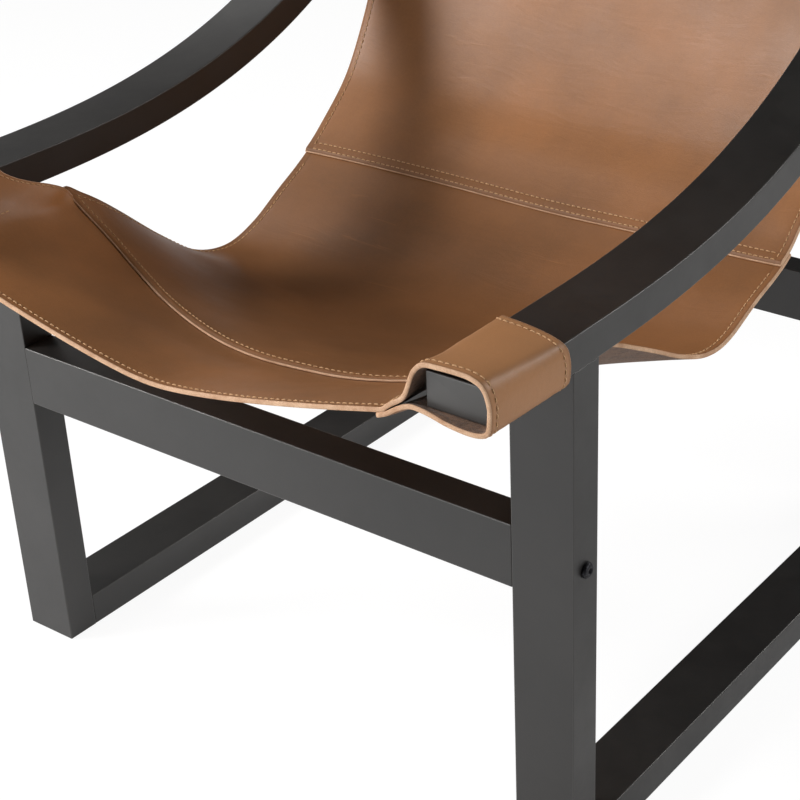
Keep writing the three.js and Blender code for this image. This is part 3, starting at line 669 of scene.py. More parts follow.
def bolt(end, name, side):
    """A button-head bolt: a domed profile turned about the shank's line, and a socket wall along a hexagon.

    Each step of the profile is a radius and a height, from the shank's chamfered end out under the head and
    over its dome. In the socket the radius is a share of the hexagon.
    """
    low, high = box_of(f"bolt_{end}_{name}") - ORIGIN
    length = high[0] - low[0] - BOLT_HEAD_HEIGHT
    face = side * HALF_WIDTH
    middle = (low + high) / 2
    turn = np.linspace(0, 2 * math.pi, BOLT_SIDES, endpoint=False)
    hexagon = SOCKET_APOTHEM / np.cos((turn + math.pi / 6) % (math.pi / 3) - math.pi / 6)
    dome = np.linspace(0, 1, 12)
    dome_radius = BOLT_HEAD - (BOLT_HEAD - BOLT_HEAD_FLAT) * dome**2.2
    dome_height = BOLT_RIM + (BOLT_HEAD_HEIGHT - BOLT_RIM) * np.sin(dome * math.pi / 2)
    profile = [(0.01, -length), (BOLT_SHANK - 0.6, -length), (BOLT_SHANK, -length + 0.8),
               (BOLT_SHANK, -0.3), (BOLT_SHANK + 0.3, 0.02), (BOLT_HEAD - 0.25, 0.02), (BOLT_HEAD, 0.25)]
    profile += list(zip(dome_radius, dome_height))
    profile = [(np.full(BOLT_SIDES, r), h) for r, h in profile]
    floor = BOLT_HEAD_HEIGHT - SOCKET_DEPTH
    socket = [(1.12, BOLT_HEAD_HEIGHT), (1.0, BOLT_HEAD_HEIGHT - 0.25), (1.0, floor), (0.5, floor - 0.4),
              (0.003, floor - 0.7)]
    profile += [(hexagon * share, h) for share, h in socket]
    rings = np.array([np.stack([np.full(BOLT_SIDES, h), r * np.cos(turn), r * np.sin(turn)], axis=1)
                      for r, h in profile])
    rings[..., 0] = face + side * rings[..., 0]
    rings[..., 1:] += middle[1:]
    points, faces = skin(rings)
    piece = make_piece(f"bolt_{end}_{name}_steel", points, outward(points, faces), [BLACK_STEEL])
    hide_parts(f"bolt_{end}_{name}")


def build_bolts():
    for end in ("front", "rear"):
        for name, side in (("left", -1), ("right", 1)):
            bolt(end, name, side)


# The sling's own surface

POST_END = np.array([REAR_LEG_FRONT, POST_TOP])
BACK_DIRECTION = np.array([math.cos(BACK_ANGLE), math.sin(BACK_ANGLE)])
FRONT_MOUTH = (np.array([ARM_TIP - SLEEVE_REACH, ARM_HEIGHT]), np.array([1.0, 0.0]), np.array([0.0, 1.0]))
TOP_MOUTH = (
    POST_END - TOP_SLEEVE_DROP * BACK_DIRECTION,
    -BACK_DIRECTION,
    np.array([-BACK_DIRECTION[1], BACK_DIRECTION[0]]),
)

MIDDLE_ROUNDING = 25.0

# Each row, in millimetres back and up: middle line, left edge, right edge, then how the rise toward the edge
# is bent and swept. The places were measured along the photograph's outlines.
BAND_ROWS = [
    (-104.3, 430.1, -105.0, 493.5, -105.0, 493.5, 1.3, 2.0),
    (-41.6, 415.3, -14.8, 489.8, -14.8, 489.8, 2.0, 1.2),
    (22.7, 398.6, 67.7, 477.1, 67.9, 477.1, 2.9, 1.0),
]
SEAT_ROWS = [
    (78.2, 382.9, 104.5, 456.0, 104.3, 457.2, 2.9, 1.5),
    (134.9, 364.7, 150.3, 421.7, 149.8, 437.9, 2.6, 2.0),
    (190.1, 349.1, 197.5, 381.3, 198.8, 412.9, 2.4, 2.0),
    (245.3, 338.7, 243.3, 347.8, 245.0, 388.3, 2.2, 2.0),
    (295.1, 336.0, 291.8, 335.9, 290.3, 371.6, 2.2, 2.0),
    (344.9, 344.9, 338.1, 347.5, 330.6, 372.0, 2.2, 2.0),
    (397.0, 366.8, 384.6, 373.7, 382.1, 392.6, 2.1, 2.0),
    (446.9, 394.9, 427.4, 397.8, 431.4, 410.2, 2.0, 2.0),
]
BACK_ROWS = [
    (489.0, 434.2, 458.5, 419.9, 459.7, 431.6, 2.0, 2.0),
    (519.5, 466.6, 506.1, 466.0, 502.8, 477.2, 2.0, 2.0),
    (554.0, 512.9, 545.3, 529.7, 540.0, 539.0, 2.0, 2.0),
    (590.0, 570.6, 573.8, 593.7, 570.5, 599.1, 2.0, 2.0),
    (625.7, 628.6, 602.0, 645.1, 600.5, 647.4, 2.1, 2.1),
]
# At the top, places are shares of the sleeve's length from its mouth and of the arm's thickness
TOP_SHARES = [
    (1.33, -2.33, 1.8, -1.4, 1.8, -1.4, 2.4, 2.4),
    (0.66, -2.05, 0.94, -1.04, 0.94, -1.04, 2.0, 2.0),
    (0.0, -1.8, 0.0, -0.95, 0.0, -0.95, 1.5, 1.5),
]
# Stations at even steps across, from the left edge to the right: the seat panel's front edge and the seam
FRONT_EDGE_STATIONS = [2.33, 2.61, 2.46, 2.22, 2.06, 1.97, 1.97, 1.93, 1.85, 1.88, 2.0, 2.2, 2.3]
SEAM_STATIONS = [10.04, 9.98, 9.92, 9.93, 9.83]
# The crest's line goes through CREST_X, CREST_BACK. It rises and dies down between these places across.
CREST_X, CREST_BACK, CREST_SLANT = -174.0, 203.0, -0.46
CREST_HEIGHT, CREST_WIDTH = 3.6, 32.0
CREST_STARTS, CREST_ENDS = (-290.0, -225.0), (-130.0, -20.0)


def in_mouth(mouth, away, up):
    """Places back and up for a place away from a sleeve's mouth and above the member's top."""
    origin, away_direction, up_direction = mouth
    return origin + np.multiply.outer(away, away_direction) + np.multiply.outer(up, up_direction)


def sling_table():
    top = np.array(TOP_SHARES)
    places = [in_mouth(TOP_MOUTH, top[:, k] * SLEEVE_LENGTH, top[:, k + 1] * ARM_THICKNESS)
              for k in (0, 2, 4)]
    return np.vstack([BAND_ROWS, SEAT_ROWS, BACK_ROWS, np.hstack([*places, top[:, 6:]])])


SLING_TABLE = sling_table()
CORNER_STATION = len(BAND_ROWS) - 1
SEAM_STATION = len(BAND_ROWS) + len(SEAT_ROWS) - 1
LAST_STATION = len(SLING_TABLE) - 1
TOP_CORNER_STATION = LAST_STATION - CORNER_STATION


def read_rows(table, at):
    """A smooth curve through the rows of a table, read at the stations in at.

    Each span is the cubic whose slope at a row is half the difference of that row's neighbours.
    """
    last = len(table) - 1
    low = np.clip(np.floor(at).astype(int), 0, last - 1)
    share = (at - low)[..., None]
    before, start, end, after = (table[np.clip(low + k, 0, last)] for k in (-1, 0, 1, 2))
    slope, next_slope = (end - before) / 2, (after - start) / 2
    square = 3 * (end - start) - 2 * slope - next_slope
    cube = 2 * (start - end) + slope + next_slope
    return start + share * (slope + share * (square + share * cube))


def station_across(stations, x):
    """A smooth line across the sling through stations at even steps from its left edge to its right."""
    at = (np.asarray(x, float) / SLING_HALF + 1) / 2 * (len(stations) - 1)
    return read_rows(np.array(stations)[:, None], np.clip(at, 0, len(stations) - 1))[..., 0]


def smooth_step(value, low, high):
    share = np.clip((value - low) / (high - low), 0, 1)
    return share * share * (3 - 2 * share)


def rounded_power(distance, power):
    """A power of the long side of a right triangle whose short sides are the distance and MIDDLE_ROUNDING,
    less its value at no distance, so that it starts off level."""
    return (distance**2 + MIDDLE_ROUNDING**2) ** (power / 2) - MIDDLE_ROUNDING**power


def rise_share(x, power):
    """0 on the middle line and 1 at the edge."""
    return rounded_power(x, power) / rounded_power(SLING_HALF, power)


def crest(x, back):
    """Height of the soft crest across the left of the seat: a bell curve of the distance from a slanting
    line, which fades out toward the left edge and before the middle."""
    line = CREST_BACK + CREST_SLANT * (x - CREST_X)
    fade = smooth_step(x, *CREST_STARTS) * (1 - smooth_step(x, *CREST_ENDS))
    return CREST_HEIGHT * np.exp(-(((back - line) / CREST_WIDTH) ** 2)) * fade


def sling(x, station):
    """The sling's surface: from the middle line to the edge line by rise_share, with the crest on top."""
    x, station = np.broadcast_arrays(np.asarray(x, float), np.asarray(station, float))
    row = read_rows(SLING_TABLE, station)
    edge = np.where((x < 0)[..., None], row[..., 2:4], row[..., 4:6])
    back = row[..., 0] + (edge[..., 0] - row[..., 0]) * rise_share(x, row[..., 7])
    up = row[..., 1] + (edge[..., 1] - row[..., 1]) * rise_share(x, row[..., 6]) + crest(x, back)
    return np.stack([x, back, up], axis=-1)


def sling_normal(x, station):
    step = 0.05
    low = np.clip(station - step, 0, LAST_STATION)
    high = np.clip(station + step, 0, LAST_STATION)
    across = sling(x + 1.0, station) - sling(x - 1.0, station)
    return unit(np.cross(across, sling(x, high) - sling(x, low)))


def layer(x, station, lift):
    """The sling's surface moved square to itself, so that one sheet lies on another where they are sewn."""
    lift = np.broadcast_to(lift, np.broadcast(x, station).shape)
    return sling(x, station) + sling_normal(x, station) * lift[..., None]


# Leather sheets

# Where rows of points stand from the ends of a sheet and round a marked row
END_STEPS = (0.0, 1.0, 2.0)
MARK_STEPS = (-1.6, -0.9, -0.45, 0.0, 0.45, 0.9, 1.6)
# The groove under a row of stitches, and how much of its depth shows on the lower side
GROOVE_DEPTH, GROOVE_WIDTH, GROOVE_BELOW = 0.14, 1.3, 0.4
# The round of a cut edge: shares out and up, and how far it stands out
EDGE_ROUND = [(0.45, 0.93), (0.8, 0.72), (1.0, 0.35), (1.0, -0.35), (0.8, -0.72), (0.45, -0.93)]
EDGE_SPREAD = 0.9
# The distance that is written where no row or edge is near
FAR = 9.0


def spaced(length, spacing, marks, from_end=()):
    """Places from 0 to length, spacing apart, with more of them round the marked distances from each end."""
    fixed = [*END_STEPS, *[m + d for m in marks for d in MARK_STEPS]]
    fixed_end = [*END_STEPS, *[m + d for m in from_end for d in MARK_STEPS]]
    starts = np.array(sorted(p for p in set(fixed) if p >= 0))
    ends = length - np.array(sorted((p for p in set(fixed_end) if p >= 0), reverse=True))
    count = max(int(round((ends[0] - starts[-1]) / spacing)), 2)
    return np.concatenate([starts, np.linspace(starts[-1], ends[0], count + 1)[1:-1], ends])


def walk(points):
    """Distance walked along the first axis of a grid of points."""
    steps = np.linalg.norm(np.diff(points, axis=0), axis=-1)
    return np.concatenate([np.zeros((1, *steps.shape[1:])), np.cumsum(steps, axis=0)])


def read_along(line, walked, at):
    """A line of points whose distances walked are known, read at the distances in at."""
    return np.stack([np.interp(at, walked, line[:, axis]) for axis in range(3)], axis=-1)


def respace(points, marks, from_end, spacing):
    """The same surface with its rows evenly apart and the marked rows at true distances from its ends."""
    walked = walk(points)
    mean = float(np.median(walked[-1]))
    wanted = spaced(mean, spacing, marks, from_end)
    fixed = max([END_STEPS[-1], *[m + MARK_STEPS[-1] for m in marks]])
    fixed_end = mean - max([END_STEPS[-1], *[m + MARK_STEPS[-1] for m in from_end]])
    columns = []
    for k in range(points.shape[1]):
        total = walked[-1, k]
        scale = (total - mean + fixed_end - fixed) / (fixed_end - fixed)
        at = np.where(wanted <= fixed, wanted, fixed + (wanted - fixed) * scale)
        at = np.where(wanted >= fixed_end, wanted + total - mean, at)
        columns.append(read_along(points[:, k], walked[:, k], at))
    return np.stack(columns, axis=1), wanted


def sheet_normals(grid):
    across = np.gradient(grid, axis=1)
    along = np.gradient(grid, axis=0)
    return unit(np.cross(across, along))


def rim_of(rows, columns):
    """Numbers of the points round a grid, in order."""
    numbers = np.arange(rows * columns).reshape(rows, columns)
    return np.concatenate([numbers[0, :-1], numbers[:-1, -1], numbers[-1, :0:-1], numbers[:0:-1, 0]])


def leather_sheet(name, grid, row_distance, edge_distance, pared, drawn):
    """A sheet round a grid of points in its middle: a side above, one below and a rounded cut edge.

    Along a row of stitches the upper side is drawn in as a bell curve of the distance from the row. pared is
    how much has been cut off the upper side at each point. drawn is 1 where the sheet is bent round an arm.
    """
    rows, columns = grid.shape[:2]
    normals = sheet_normals(grid)
    dip = GROOVE_DEPTH * np.exp(-((row_distance / GROOVE_WIDTH) ** 2))
    top = grid + normals * (LEATHER / 2 - dip - pared)[..., None]
    under = grid - normals * (LEATHER / 2 - GROOVE_BELOW * dip)[..., None]
    rim = rim_of(rows, columns)
    flat_grid, flat_normals = grid.reshape(-1, 3), normals.reshape(-1, 3)
    ahead = np.roll(rim, -1)
    behind = np.roll(rim, 1)
    outside = unit(np.cross(flat_grid[ahead] - flat_grid[behind], flat_normals[rim]))
    cut = pared.ravel()[rim, None]
    rings = []
    for out, up in EDGE_ROUND:
        raised = flat_normals[rim] * (LEATHER / 2 * up - cut * (1 + up) / 2)
        rings.append(flat_grid[rim] + outside * (EDGE_SPREAD * out) + raised)
    points = np.vstack([top.reshape(-1, 3), under.reshape(-1, 3), *rings])
    size = rows * columns
    top_faces = grid_quads(rows, columns)
    under_faces = grid_quads(rows, columns, start=size)[:, ::-1]
    loops = [rim, *[2 * size + k * len(rim) + np.arange(len(rim)) for k in range(len(rings))], size + rim]
    edge_faces = np.vstack([np.stack([upper, lower, np.roll(lower, -1), np.roll(upper, -1)], axis=-1)
                            for upper, lower in zip(loops, loops[1:])])
    finish = np.repeat([0, 1, 2], [len(top_faces), len(edge_faces), len(under_faces)])
    faces = np.vstack([top_faces, edge_faces, under_faces])
    rim_marks = len(rings) * len(rim)
    marks = {
        "row_distance": np.concatenate([row_distance.ravel(), np.full(size + rim_marks, FAR)]),
        "edge_distance": np.concatenate([edge_distance.ravel(), np.full(size, FAR), np.zeros(rim_marks)]),
        "drawn": np.concatenate([drawn.ravel(), np.zeros(size + rim_marks)]),
    }
    return make_piece(name, points, faces, LEATHER_FINISHES, finish, marks)


# Stitches

STITCH_PITCH = 6.4
STITCH_LENGTH = 5.0
STITCH_MARGIN = 2.0
STITCH_RINGS, STITCH_SIDES = 7, 6
THREAD = 1.15
# The thread dips this far into the leather at its ends and rises by the arch, which a low power makes square
THREAD_DIP, THREAD_ARCH, ARCH_POWER = 0.55, 0.8, 0.45
# Its width at its ends and what the arch adds, as shares of the thread, and how far it is pressed flat
THREAD_END_SHARE, THREAD_ARCH_SHARE, THREAD_PRESS = 0.7, 0.3, 1.15


def stitches(line, normals):
    """Stitches along a line on the leather, each a thread that arches out of one hole and into the next.

    The arch is a half wave along the stitch to the power ARCH_POWER.
    """
    walked = walk(line)
    total = float(walked[-1])
    count = max(int((total - 2 * STITCH_MARGIN) // STITCH_PITCH), 1)
    middles = (total - (count - 1) * STITCH_PITCH) / 2 + STITCH_PITCH * np.arange(count)
    part = np.linspace(-0.5, 0.5, STITCH_RINGS)
    at = middles[:, None] + part[None, :] * STITCH_LENGTH
    centre, up = read_along(line, walked, at), unit(read_along(normals, walked, at))
    aside = unit(np.cross(unit(np.gradient(centre, axis=1)), up))
    arch = np.cos(math.pi * part) ** ARCH_POWER
    height = THREAD_ARCH * arch - THREAD_DIP
    width = THREAD / 2 * (THREAD_END_SHARE + THREAD_ARCH_SHARE * arch)
    turn = np.linspace(0, 2 * math.pi, STITCH_SIDES + 1)[:-1]
    out = (np.cos(turn)[None, None, :] * width[None, :, None] * THREAD_PRESS)[..., None]
    over = (np.sin(turn)[None, None, :] * width[None, :, None])[..., None]
    middle = (centre + up * height[None, :, None])[:, :, None, :]
    return middle + aside[:, :, None, :] * out + up[:, :, None, :] * over


def stitch_faces(count):
    quads = grid_quads(STITCH_RINGS, STITCH_SIDES, closed=True)[:, [0, 3, 2, 1]]
    last_ring = (STITCH_RINGS - 1) * STITCH_SIDES
    ends = [tuple(range(STITCH_SIDES)), tuple(last_ring + np.arange(STITCH_SIDES)[::-1])]
    one = [tuple(quad) for quad in quads] + ends
    size = STITCH_RINGS * STITCH_SIDES
    return [tuple(int(v) + k * size for v in face) for k in range(count) for face in one]


def stitching(name, rows):
    """All the stitches of one sheet as one piece. rows are pairs of a line and its normals."""
    threads = np.concatenate([stitches(line, normals) for line, normals in rows])
    faces = stitch_faces(len(threads))
    return make_piece(name, threads.reshape(-1, 3), faces, [THREAD_FINISH])


def surface_row(grid, pick, pared, keep):
    """The points in keep of one line of the grid, on the upper side of the leather, with their normals."""
    normals = sheet_normals(grid)[pick]
    line = grid[pick] + normals * (LEATHER / 2 - pared[pick])[:, None]
    return line[keep], normals[keep]


# Seat and back panels

COLUMN_SPACING, ROW_SPACING = 4.6, 4.2
DENSE_ROWS = 260
# Each panel is pared thin toward the edge that lies on the next sheet: how much at the edge, and how far in
PARED, PARED_WIDTH = 2.0, 1.5
# How far the rows of thread that run across a panel stop short of its sides
SIDE_GAP = 2.5


def panel(first, last, lift, low_marks, high_marks):
    """A panel of the sling from a first to a last line of stations, with its rows and columns at true
    distances from its edges. first and last give the stations for places across."""
    columns = spaced(2 * SLING_HALF, COLUMN_SPACING, [ROW_INSET], [ROW_INSET]) - SLING_HALF
    share = np.linspace(0, 1, DENSE_ROWS)[:, None]
    stations = (1 - share) * first(columns) + share * last(columns)
    dense = layer(np.broadcast_to(columns, stations.shape), stations, lift(stations))
    grid, distances = respace(dense, low_marks, high_marks, ROW_SPACING)
    return grid, columns, distances


def distances_to(rows, places):
    """Distance from each place to the nearest of some marked places."""
    return np.min(np.abs(np.subtract.outer(places, np.array(rows))), axis=1)


def nearest(places, wanted):
    """The number of the place that lies nearest to the wanted one."""
    return int(np.argmin(np.abs(places - wanted)))


def panel_piece(name, node, grid, columns, distances, low_rows, high_rows, side_gaps):
    """A panel with its stitching. The rows are distances from its low and its high edge, and side_gaps are
    how far the rows along its sides stop short of those edges."""
    length = float(distances[-1])
    sides = [-SLING_HALF + ROW_INSET, SLING_HALF - ROW_INSET]
    seams = [*low_rows, *[length - row for row in high_rows]]
    row_distance = np.minimum(distances_to(sides, columns)[None, :], distances_to(seams, distances)[:, None])
    edge_distance = np.minimum(
        (SLING_HALF - np.abs(columns))[None, :], np.minimum(distances, length - distances)[:, None]
    )
    pared = np.broadcast_to(PARED * np.exp(-((distances / PARED_WIDTH) ** 2))[:, None], row_distance.shape)
    piece = leather_sheet(name, grid, row_distance, edge_distance, pared, np.zeros(row_distance.shape))
    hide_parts(node)
    between = (distances >= side_gaps[0]) & (distances <= length - side_gaps[1])
    inside = np.abs(columns) <= SLING_HALF - SIDE_GAP
    lines = [surface_row(grid, (slice(None), nearest(columns, x)), pared, between) for x in sides]
    lines += [surface_row(grid, nearest(distances, row), pared, inside) for row in seams]
    stitching(f"{name}_stitching", lines)


SEAM_LAP_STATIONS = 0.42
BAND_LAP_STATIONS = 1.1
RAMP_STATIONS = 1.3
# How far the rows along the sides stop short of a panel's low and high edges
SEAT_SIDE_GAPS, BACK_SIDE_GAPS = (4.0, 24.0), (4.0, 4.0)


def seat_lift(station):
    """Half a lap up where the seat lies on the front band, and half a lap down where the back lies on it."""
    front = CORNER_STATION + BAND_LAP_STATIONS
    rear = SEAM_STATION - SEAM_LAP_STATIONS
    raised = 1 - smooth_step(station, front, front + RAMP_STATIONS)
    return LAP / 2 * (raised - smooth_step(station, rear - RAMP_STATIONS, rear))


def back_lift(station):
    """Half a lap up where the back lies on the seat and on the top band."""
    low, high = SEAM_STATION + 2 * SEAM_LAP_STATIONS, TOP_CORNER_STATION - 1
    raised = 1 - smooth_step(station, low, low + RAMP_STATIONS)
    return LAP / 2 * (raised + smooth_step(station, high - RAMP_STATIONS, high))


def front_edge(x):
    return station_across(FRONT_EDGE_STATIONS, x)


def seam_edge(x):
    return station_across(SEAM_STATIONS, x)


def top_edge(x):
    return np.full(np.shape(x), float(TOP_CORNER_STATION))


def build_panels():
    seat = panel(front_edge, lambda x: seam_edge(x) + SEAM_LAP_STATIONS, seat_lift, [ROW_INSET], [])
    panel_piece("seat_leather", "seat_panel", *seat, [ROW_INSET], [], SEAT_SIDE_GAPS)
    back = panel(seam_edge, top_edge, back_lift, [LOW_SEAM_ROW, HIGH_SEAM_ROW], [ROW_INSET])
    panel_piece("back_leather", "back_panel", *back, [LOW_SEAM_ROW, HIGH_SEAM_ROW], [ROW_INSET],
                BACK_SIDE_GAPS)


# Bands and sleeves

# The section of a sleeve at its mouth and at its rear edge, from the band's middle part up the arm's inner
# side, over the arm and down to its underside: millimetres across, above the arm's top and behind the mouth
SLEEVE_MOUTH = [
    (250.0, -37.4, 0.0), (256.0, -33.0, 0.0), (264.0, -27.4, 0.0), (268.7, -20.8, -0.2),
    (272.2, -12.2, -0.5), (276.0, -3.0, -0.8), (281.0, 3.6, -1.0), (286.5, 7.3, -1.5),
    (292.5, 8.6, -2.0), (306.5, 10.0, -3.0), (320.5, 11.0, -4.0), (330.0, 10.6, -4.5),
    (339.3, 8.2, -5.5), (344.4, 2.9, -6.0), (347.0, -3.7, -6.5), (348.0, -8.5, -6.6),
    (348.0, -13.5, -6.7), (347.7, -19.5, -6.8), (346.9, -25.0, -6.8), (344.2, -29.4, -6.8),
    (337.0, -32.0, -6.5), (327.0, -33.0, -6.0), (316.0, -33.0, -5.0), (305.0, -32.7, -3.5),
    (295.0, -31.5, -2.2), (285.0, -30.5, -1.2), (274.0, -30.5, -0.4),
]
SLEEVE_REAR = [
    (281.0, -45.5, 179.0), (280.8, -34.5, 161.0), (280.2, -24.8, 140.0), (280.2, -15.5, 123.0),
    (280.3, -6.5, 110.0), (281.2, 0.0, 104.0), (284.5, 2.9, 99.5), (290.0, 4.3, 96.5),
    (300.0, 4.2, 95.8), (307.0, 3.9, 95.5), (320.0, 3.3, 94.0), (332.0, 3.3, 91.0),
    (340.1, 3.3, 88.0), (344.5, 2.2, 87.5), (347.0, -0.7, 88.5), (348.1, -5.5, 89.5),
    (348.6, -12.4, 90.5), (348.2, -20.5, 91.0), (347.4, -27.0, 91.0), (344.8, -31.8, 91.0),
    (338.0, -33.4, 91.0), (328.0, -33.6, 92.0), (316.0, -33.6, 93.0), (305.0, -33.6, 95.0),
    (297.0, -36.0, 98.0), (291.0, -39.5, 102.0), (289.0, -41.0, 104.0),
]
RISE_POINTS = 7
# Where the middle part meets the sleeve: across at the mouth, and past the arm's inner face at the rear
JOINT_AT_MOUTH, JOINT_PAST, JOINT_WIDTH = 245.0, 0.5, 2.0
# The flap under the band: places across at the mouth, and how far each is drawn up there
FLAP = [(265.0, 7.2), (257.0, 4.8), (248.0, 1.2), (240.0, 0.0)]
FLAP_SPREAD = 23.0
FLAP_STATIONS = 1.2
# The rows that close the flap: places across at the mouth and at their ends, and how far back they run
FLAP_ROWS = ((247.0, 268.0), (257.0, 271.0))
FLAP_ROW_SHARE = 0.55
BAND_HIDDEN_STATIONS = 0.7
SHOULDER_STATIONS = 0.42
SHOULDER_CURVE = 6
TUCK_STATIONS = 0.3
# How far the leather keeps clear of the arm's underside, over what share of the arm's width, and at what
# share of the way to the rear it does so in full
UNDERSIDE_CLEARANCE, UNDERSIDE_SLACK = 0.6, 0.4
UNDERSIDE_SHARE = 0.9
TIP_SHARE = 0.07
# Points along the middle part, steps for each point of a control line, and the lines and columns of a band
INNER_POINTS = 15
FINE_STEPS = 12
BAND_LINES, BAND_COLUMNS = 60, 180
BAND_SPACING = 4.0
# Softening where band and sleeve meet: the spread of the mean and its reach along the line, in steps of it,
# and the shares of the way to the rear between which it grows and fades
SOFT_STEPS = 8
SOFT_REACH = 20.0
SOFT_GROWS, SOFT_FADES = (0.02, 0.3), (0.6, 0.95)
# Where the sleeves begin beside and above the arm, and how far the rows stop short of the flap and under it
SLEEVE_MARGIN, SLEEVE_BELOW = 6.0, 1.05
MOUTH_ROW_GAP, REAR_ROW_GAP, REAR_ROW_BELOW = 20, 24, 1.35
# The leather is drawn round the arm between these distances before and past its inner face, and is painted
# paler there, partly as pull-up of waxed leather and partly as painted light
DRAWN_BEFORE, DRAWN_PAST = 12.0, 4.0


def rear_station(x):
    """The band's rear edge in stations: hidden under the seat panel, less so toward the sleeves."""
    hidden = BAND_HIDDEN_STATIONS - SHOULDER_STATIONS * (np.abs(x) / INNER_FACE) ** SHOULDER_CURVE
    return front_edge(x) + hidden


def band_point(x, from_mouth, station_of, extra=0.0):
    under = smooth_step(from_mouth, CORNER_STATION / 2, CORNER_STATION - TUCK_STATIONS)
    return layer(x, station_of(from_mouth), extra - LAP / 2 * under)


def half_band(mouth, station_of, side, share):
    """One crosswise line of a band from its middle out to the end of the flap. share is 0 at the mouth."""

    def joint_at(part):
        x = (1 - part) * JOINT_AT_MOUTH + part * (INNER_FACE + JOINT_PAST)
        return band_point(side * x, part * rear_station(side * x), station_of)

    joint = joint_at(share)
    xs = side * np.abs(joint[0]) * np.linspace(0, 1, INNER_POINTS)
    inner_line = band_point(xs, share * rear_station(xs), station_of)
    bow = joint - ((1 - share) * joint_at(0.0) + share * joint_at(1.0))
    across, up, away = ((1 - share) * np.array(SLEEVE_MOUTH) + share * np.array(SLEEVE_REAR)).T
    lid = -ARM_THICKNESS - (LEATHER / 2 + UNDERSIDE_CLEARANCE) * smooth_step(share, 0, TIP_SHARE)
    under = (across < INNER_FACE + UNDERSIDE_SHARE * MEMBER_WIDTH) & (np.arange(len(up)) > len(up) / 2)
    up = np.where(under, np.minimum(up, lid - UNDERSIDE_SLACK), up)
    sleeve = np.column_stack([side * across, in_mouth(mouth, away, up)])
    fade = np.clip(1 - np.arange(1, len(sleeve) + 1) / (RISE_POINTS + 1), 0, 1)
    sleeve = sleeve + bow * fade[:, None]
    flap_x, drawn_up = np.array(FLAP).T
    flap = band_point(side * (flap_x + FLAP_SPREAD * share), FLAP_STATIONS * share, station_of, -LAP)
    flap[:, 1:] += np.multiply.outer((1 - share) * drawn_up, mouth[2])
    return np.vstack([inner_line, sleeve, flap])


def even_line(line, count):
    """A control line smoothed by a cubic through its points and walked in even steps."""
    fine = read_rows(line, np.linspace(0, len(line) - 1, FINE_STEPS * len(line)))
    walked = walk(fine)
    return read_along(fine, walked, np.linspace(0, walked[-1], count))


def soften_joint(lines, joint_across):
    """Lines from the mouth to the rear, with the bend between band and sleeve made rounder behind the mouth.

    Each point near the joint moves toward a bell-weighted mean of its neighbours along the line. How far it
    moves is a bell curve of its distance from the joint, nothing at the mouth and nothing at the rear edge.
    """
    steps = np.arange(-3 * SOFT_STEPS, 3 * SOFT_STEPS + 1)
    weights = np.exp(-((steps / SOFT_STEPS) ** 2) / 2)
    weights /= weights.sum()
    edge = 3 * SOFT_STEPS
    padded = np.pad(lines, ((0, 0), (edge, edge), (0, 0)), mode="edge")
    mean = sum(w * padded[:, edge + s:edge + s + lines.shape[1]] for w, s in zip(weights, steps))
    joint = np.argmax(np.abs(lines[..., 0]) > joint_across[:, None] - JOINT_WIDTH, axis=1)
    away = (np.arange(lines.shape[1])[None, :] - joint[:, None]) / SOFT_REACH
    along = np.linspace(0, 1, len(lines))
    growth = smooth_step(along, *SOFT_GROWS) * (1 - smooth_step(along, *SOFT_FADES))
    share = np.exp(-(away**2)) * growth[:, None]
    return lines + (mean - lines) * share[..., None]


def band_grid(mouth, station_of, turned):
    """The band's rows from its mouth backward. turned swaps left and right, so that the grain faces out."""
    shares = np.linspace(0, 1, BAND_LINES)
    halves = []
    for side in (-1, 1):
        lines = [even_line(half_band(mouth, station_of, side, share), BAND_COLUMNS) for share in shares]
        halves.append(soften_joint(np.array(lines), JOINT_AT_MOUTH + shares * (INNER_FACE - JOINT_AT_MOUTH)))
    left, right = halves
    dense = np.concatenate([left[:, ::-1], right[:, 1:]], axis=1)
    if turned:
        dense = dense[:, ::-1]
    return respace(dense, [BAND_ROW_INSET], [BAND_ROW_INSET], BAND_SPACING)


def flap_row(grid, normals, side, row):
    """The line in which a flap is sewn to the band above it. row gives its places across, first and last."""
    half = grid.shape[1] // 2
    pick = slice(half, None) if side * grid[0, -1, 0] > 0 else slice(half, None, -1)
    line, facing = grid[:, pick], normals[:, pick]
    share = np.linspace(0, 1, len(grid))
    wanted = row[0] + (row[1] - row[0]) * share / FLAP_ROW_SHARE
    number = np.argmax(np.abs(line[..., 0]) > wanted[:, None], axis=1)
    rows = np.arange(len(grid))
    before, after = line[rows, number - 1], line[rows, number]
    part = (wanted - np.abs(before[:, 0])) / (np.abs(after[:, 0]) - np.abs(before[:, 0]))
    points = before + (after - before) * part[:, None]
    keep = share < FLAP_ROW_SHARE
    return (points + facing[rows, number] * LEATHER / 2)[keep], facing[rows, number][keep]


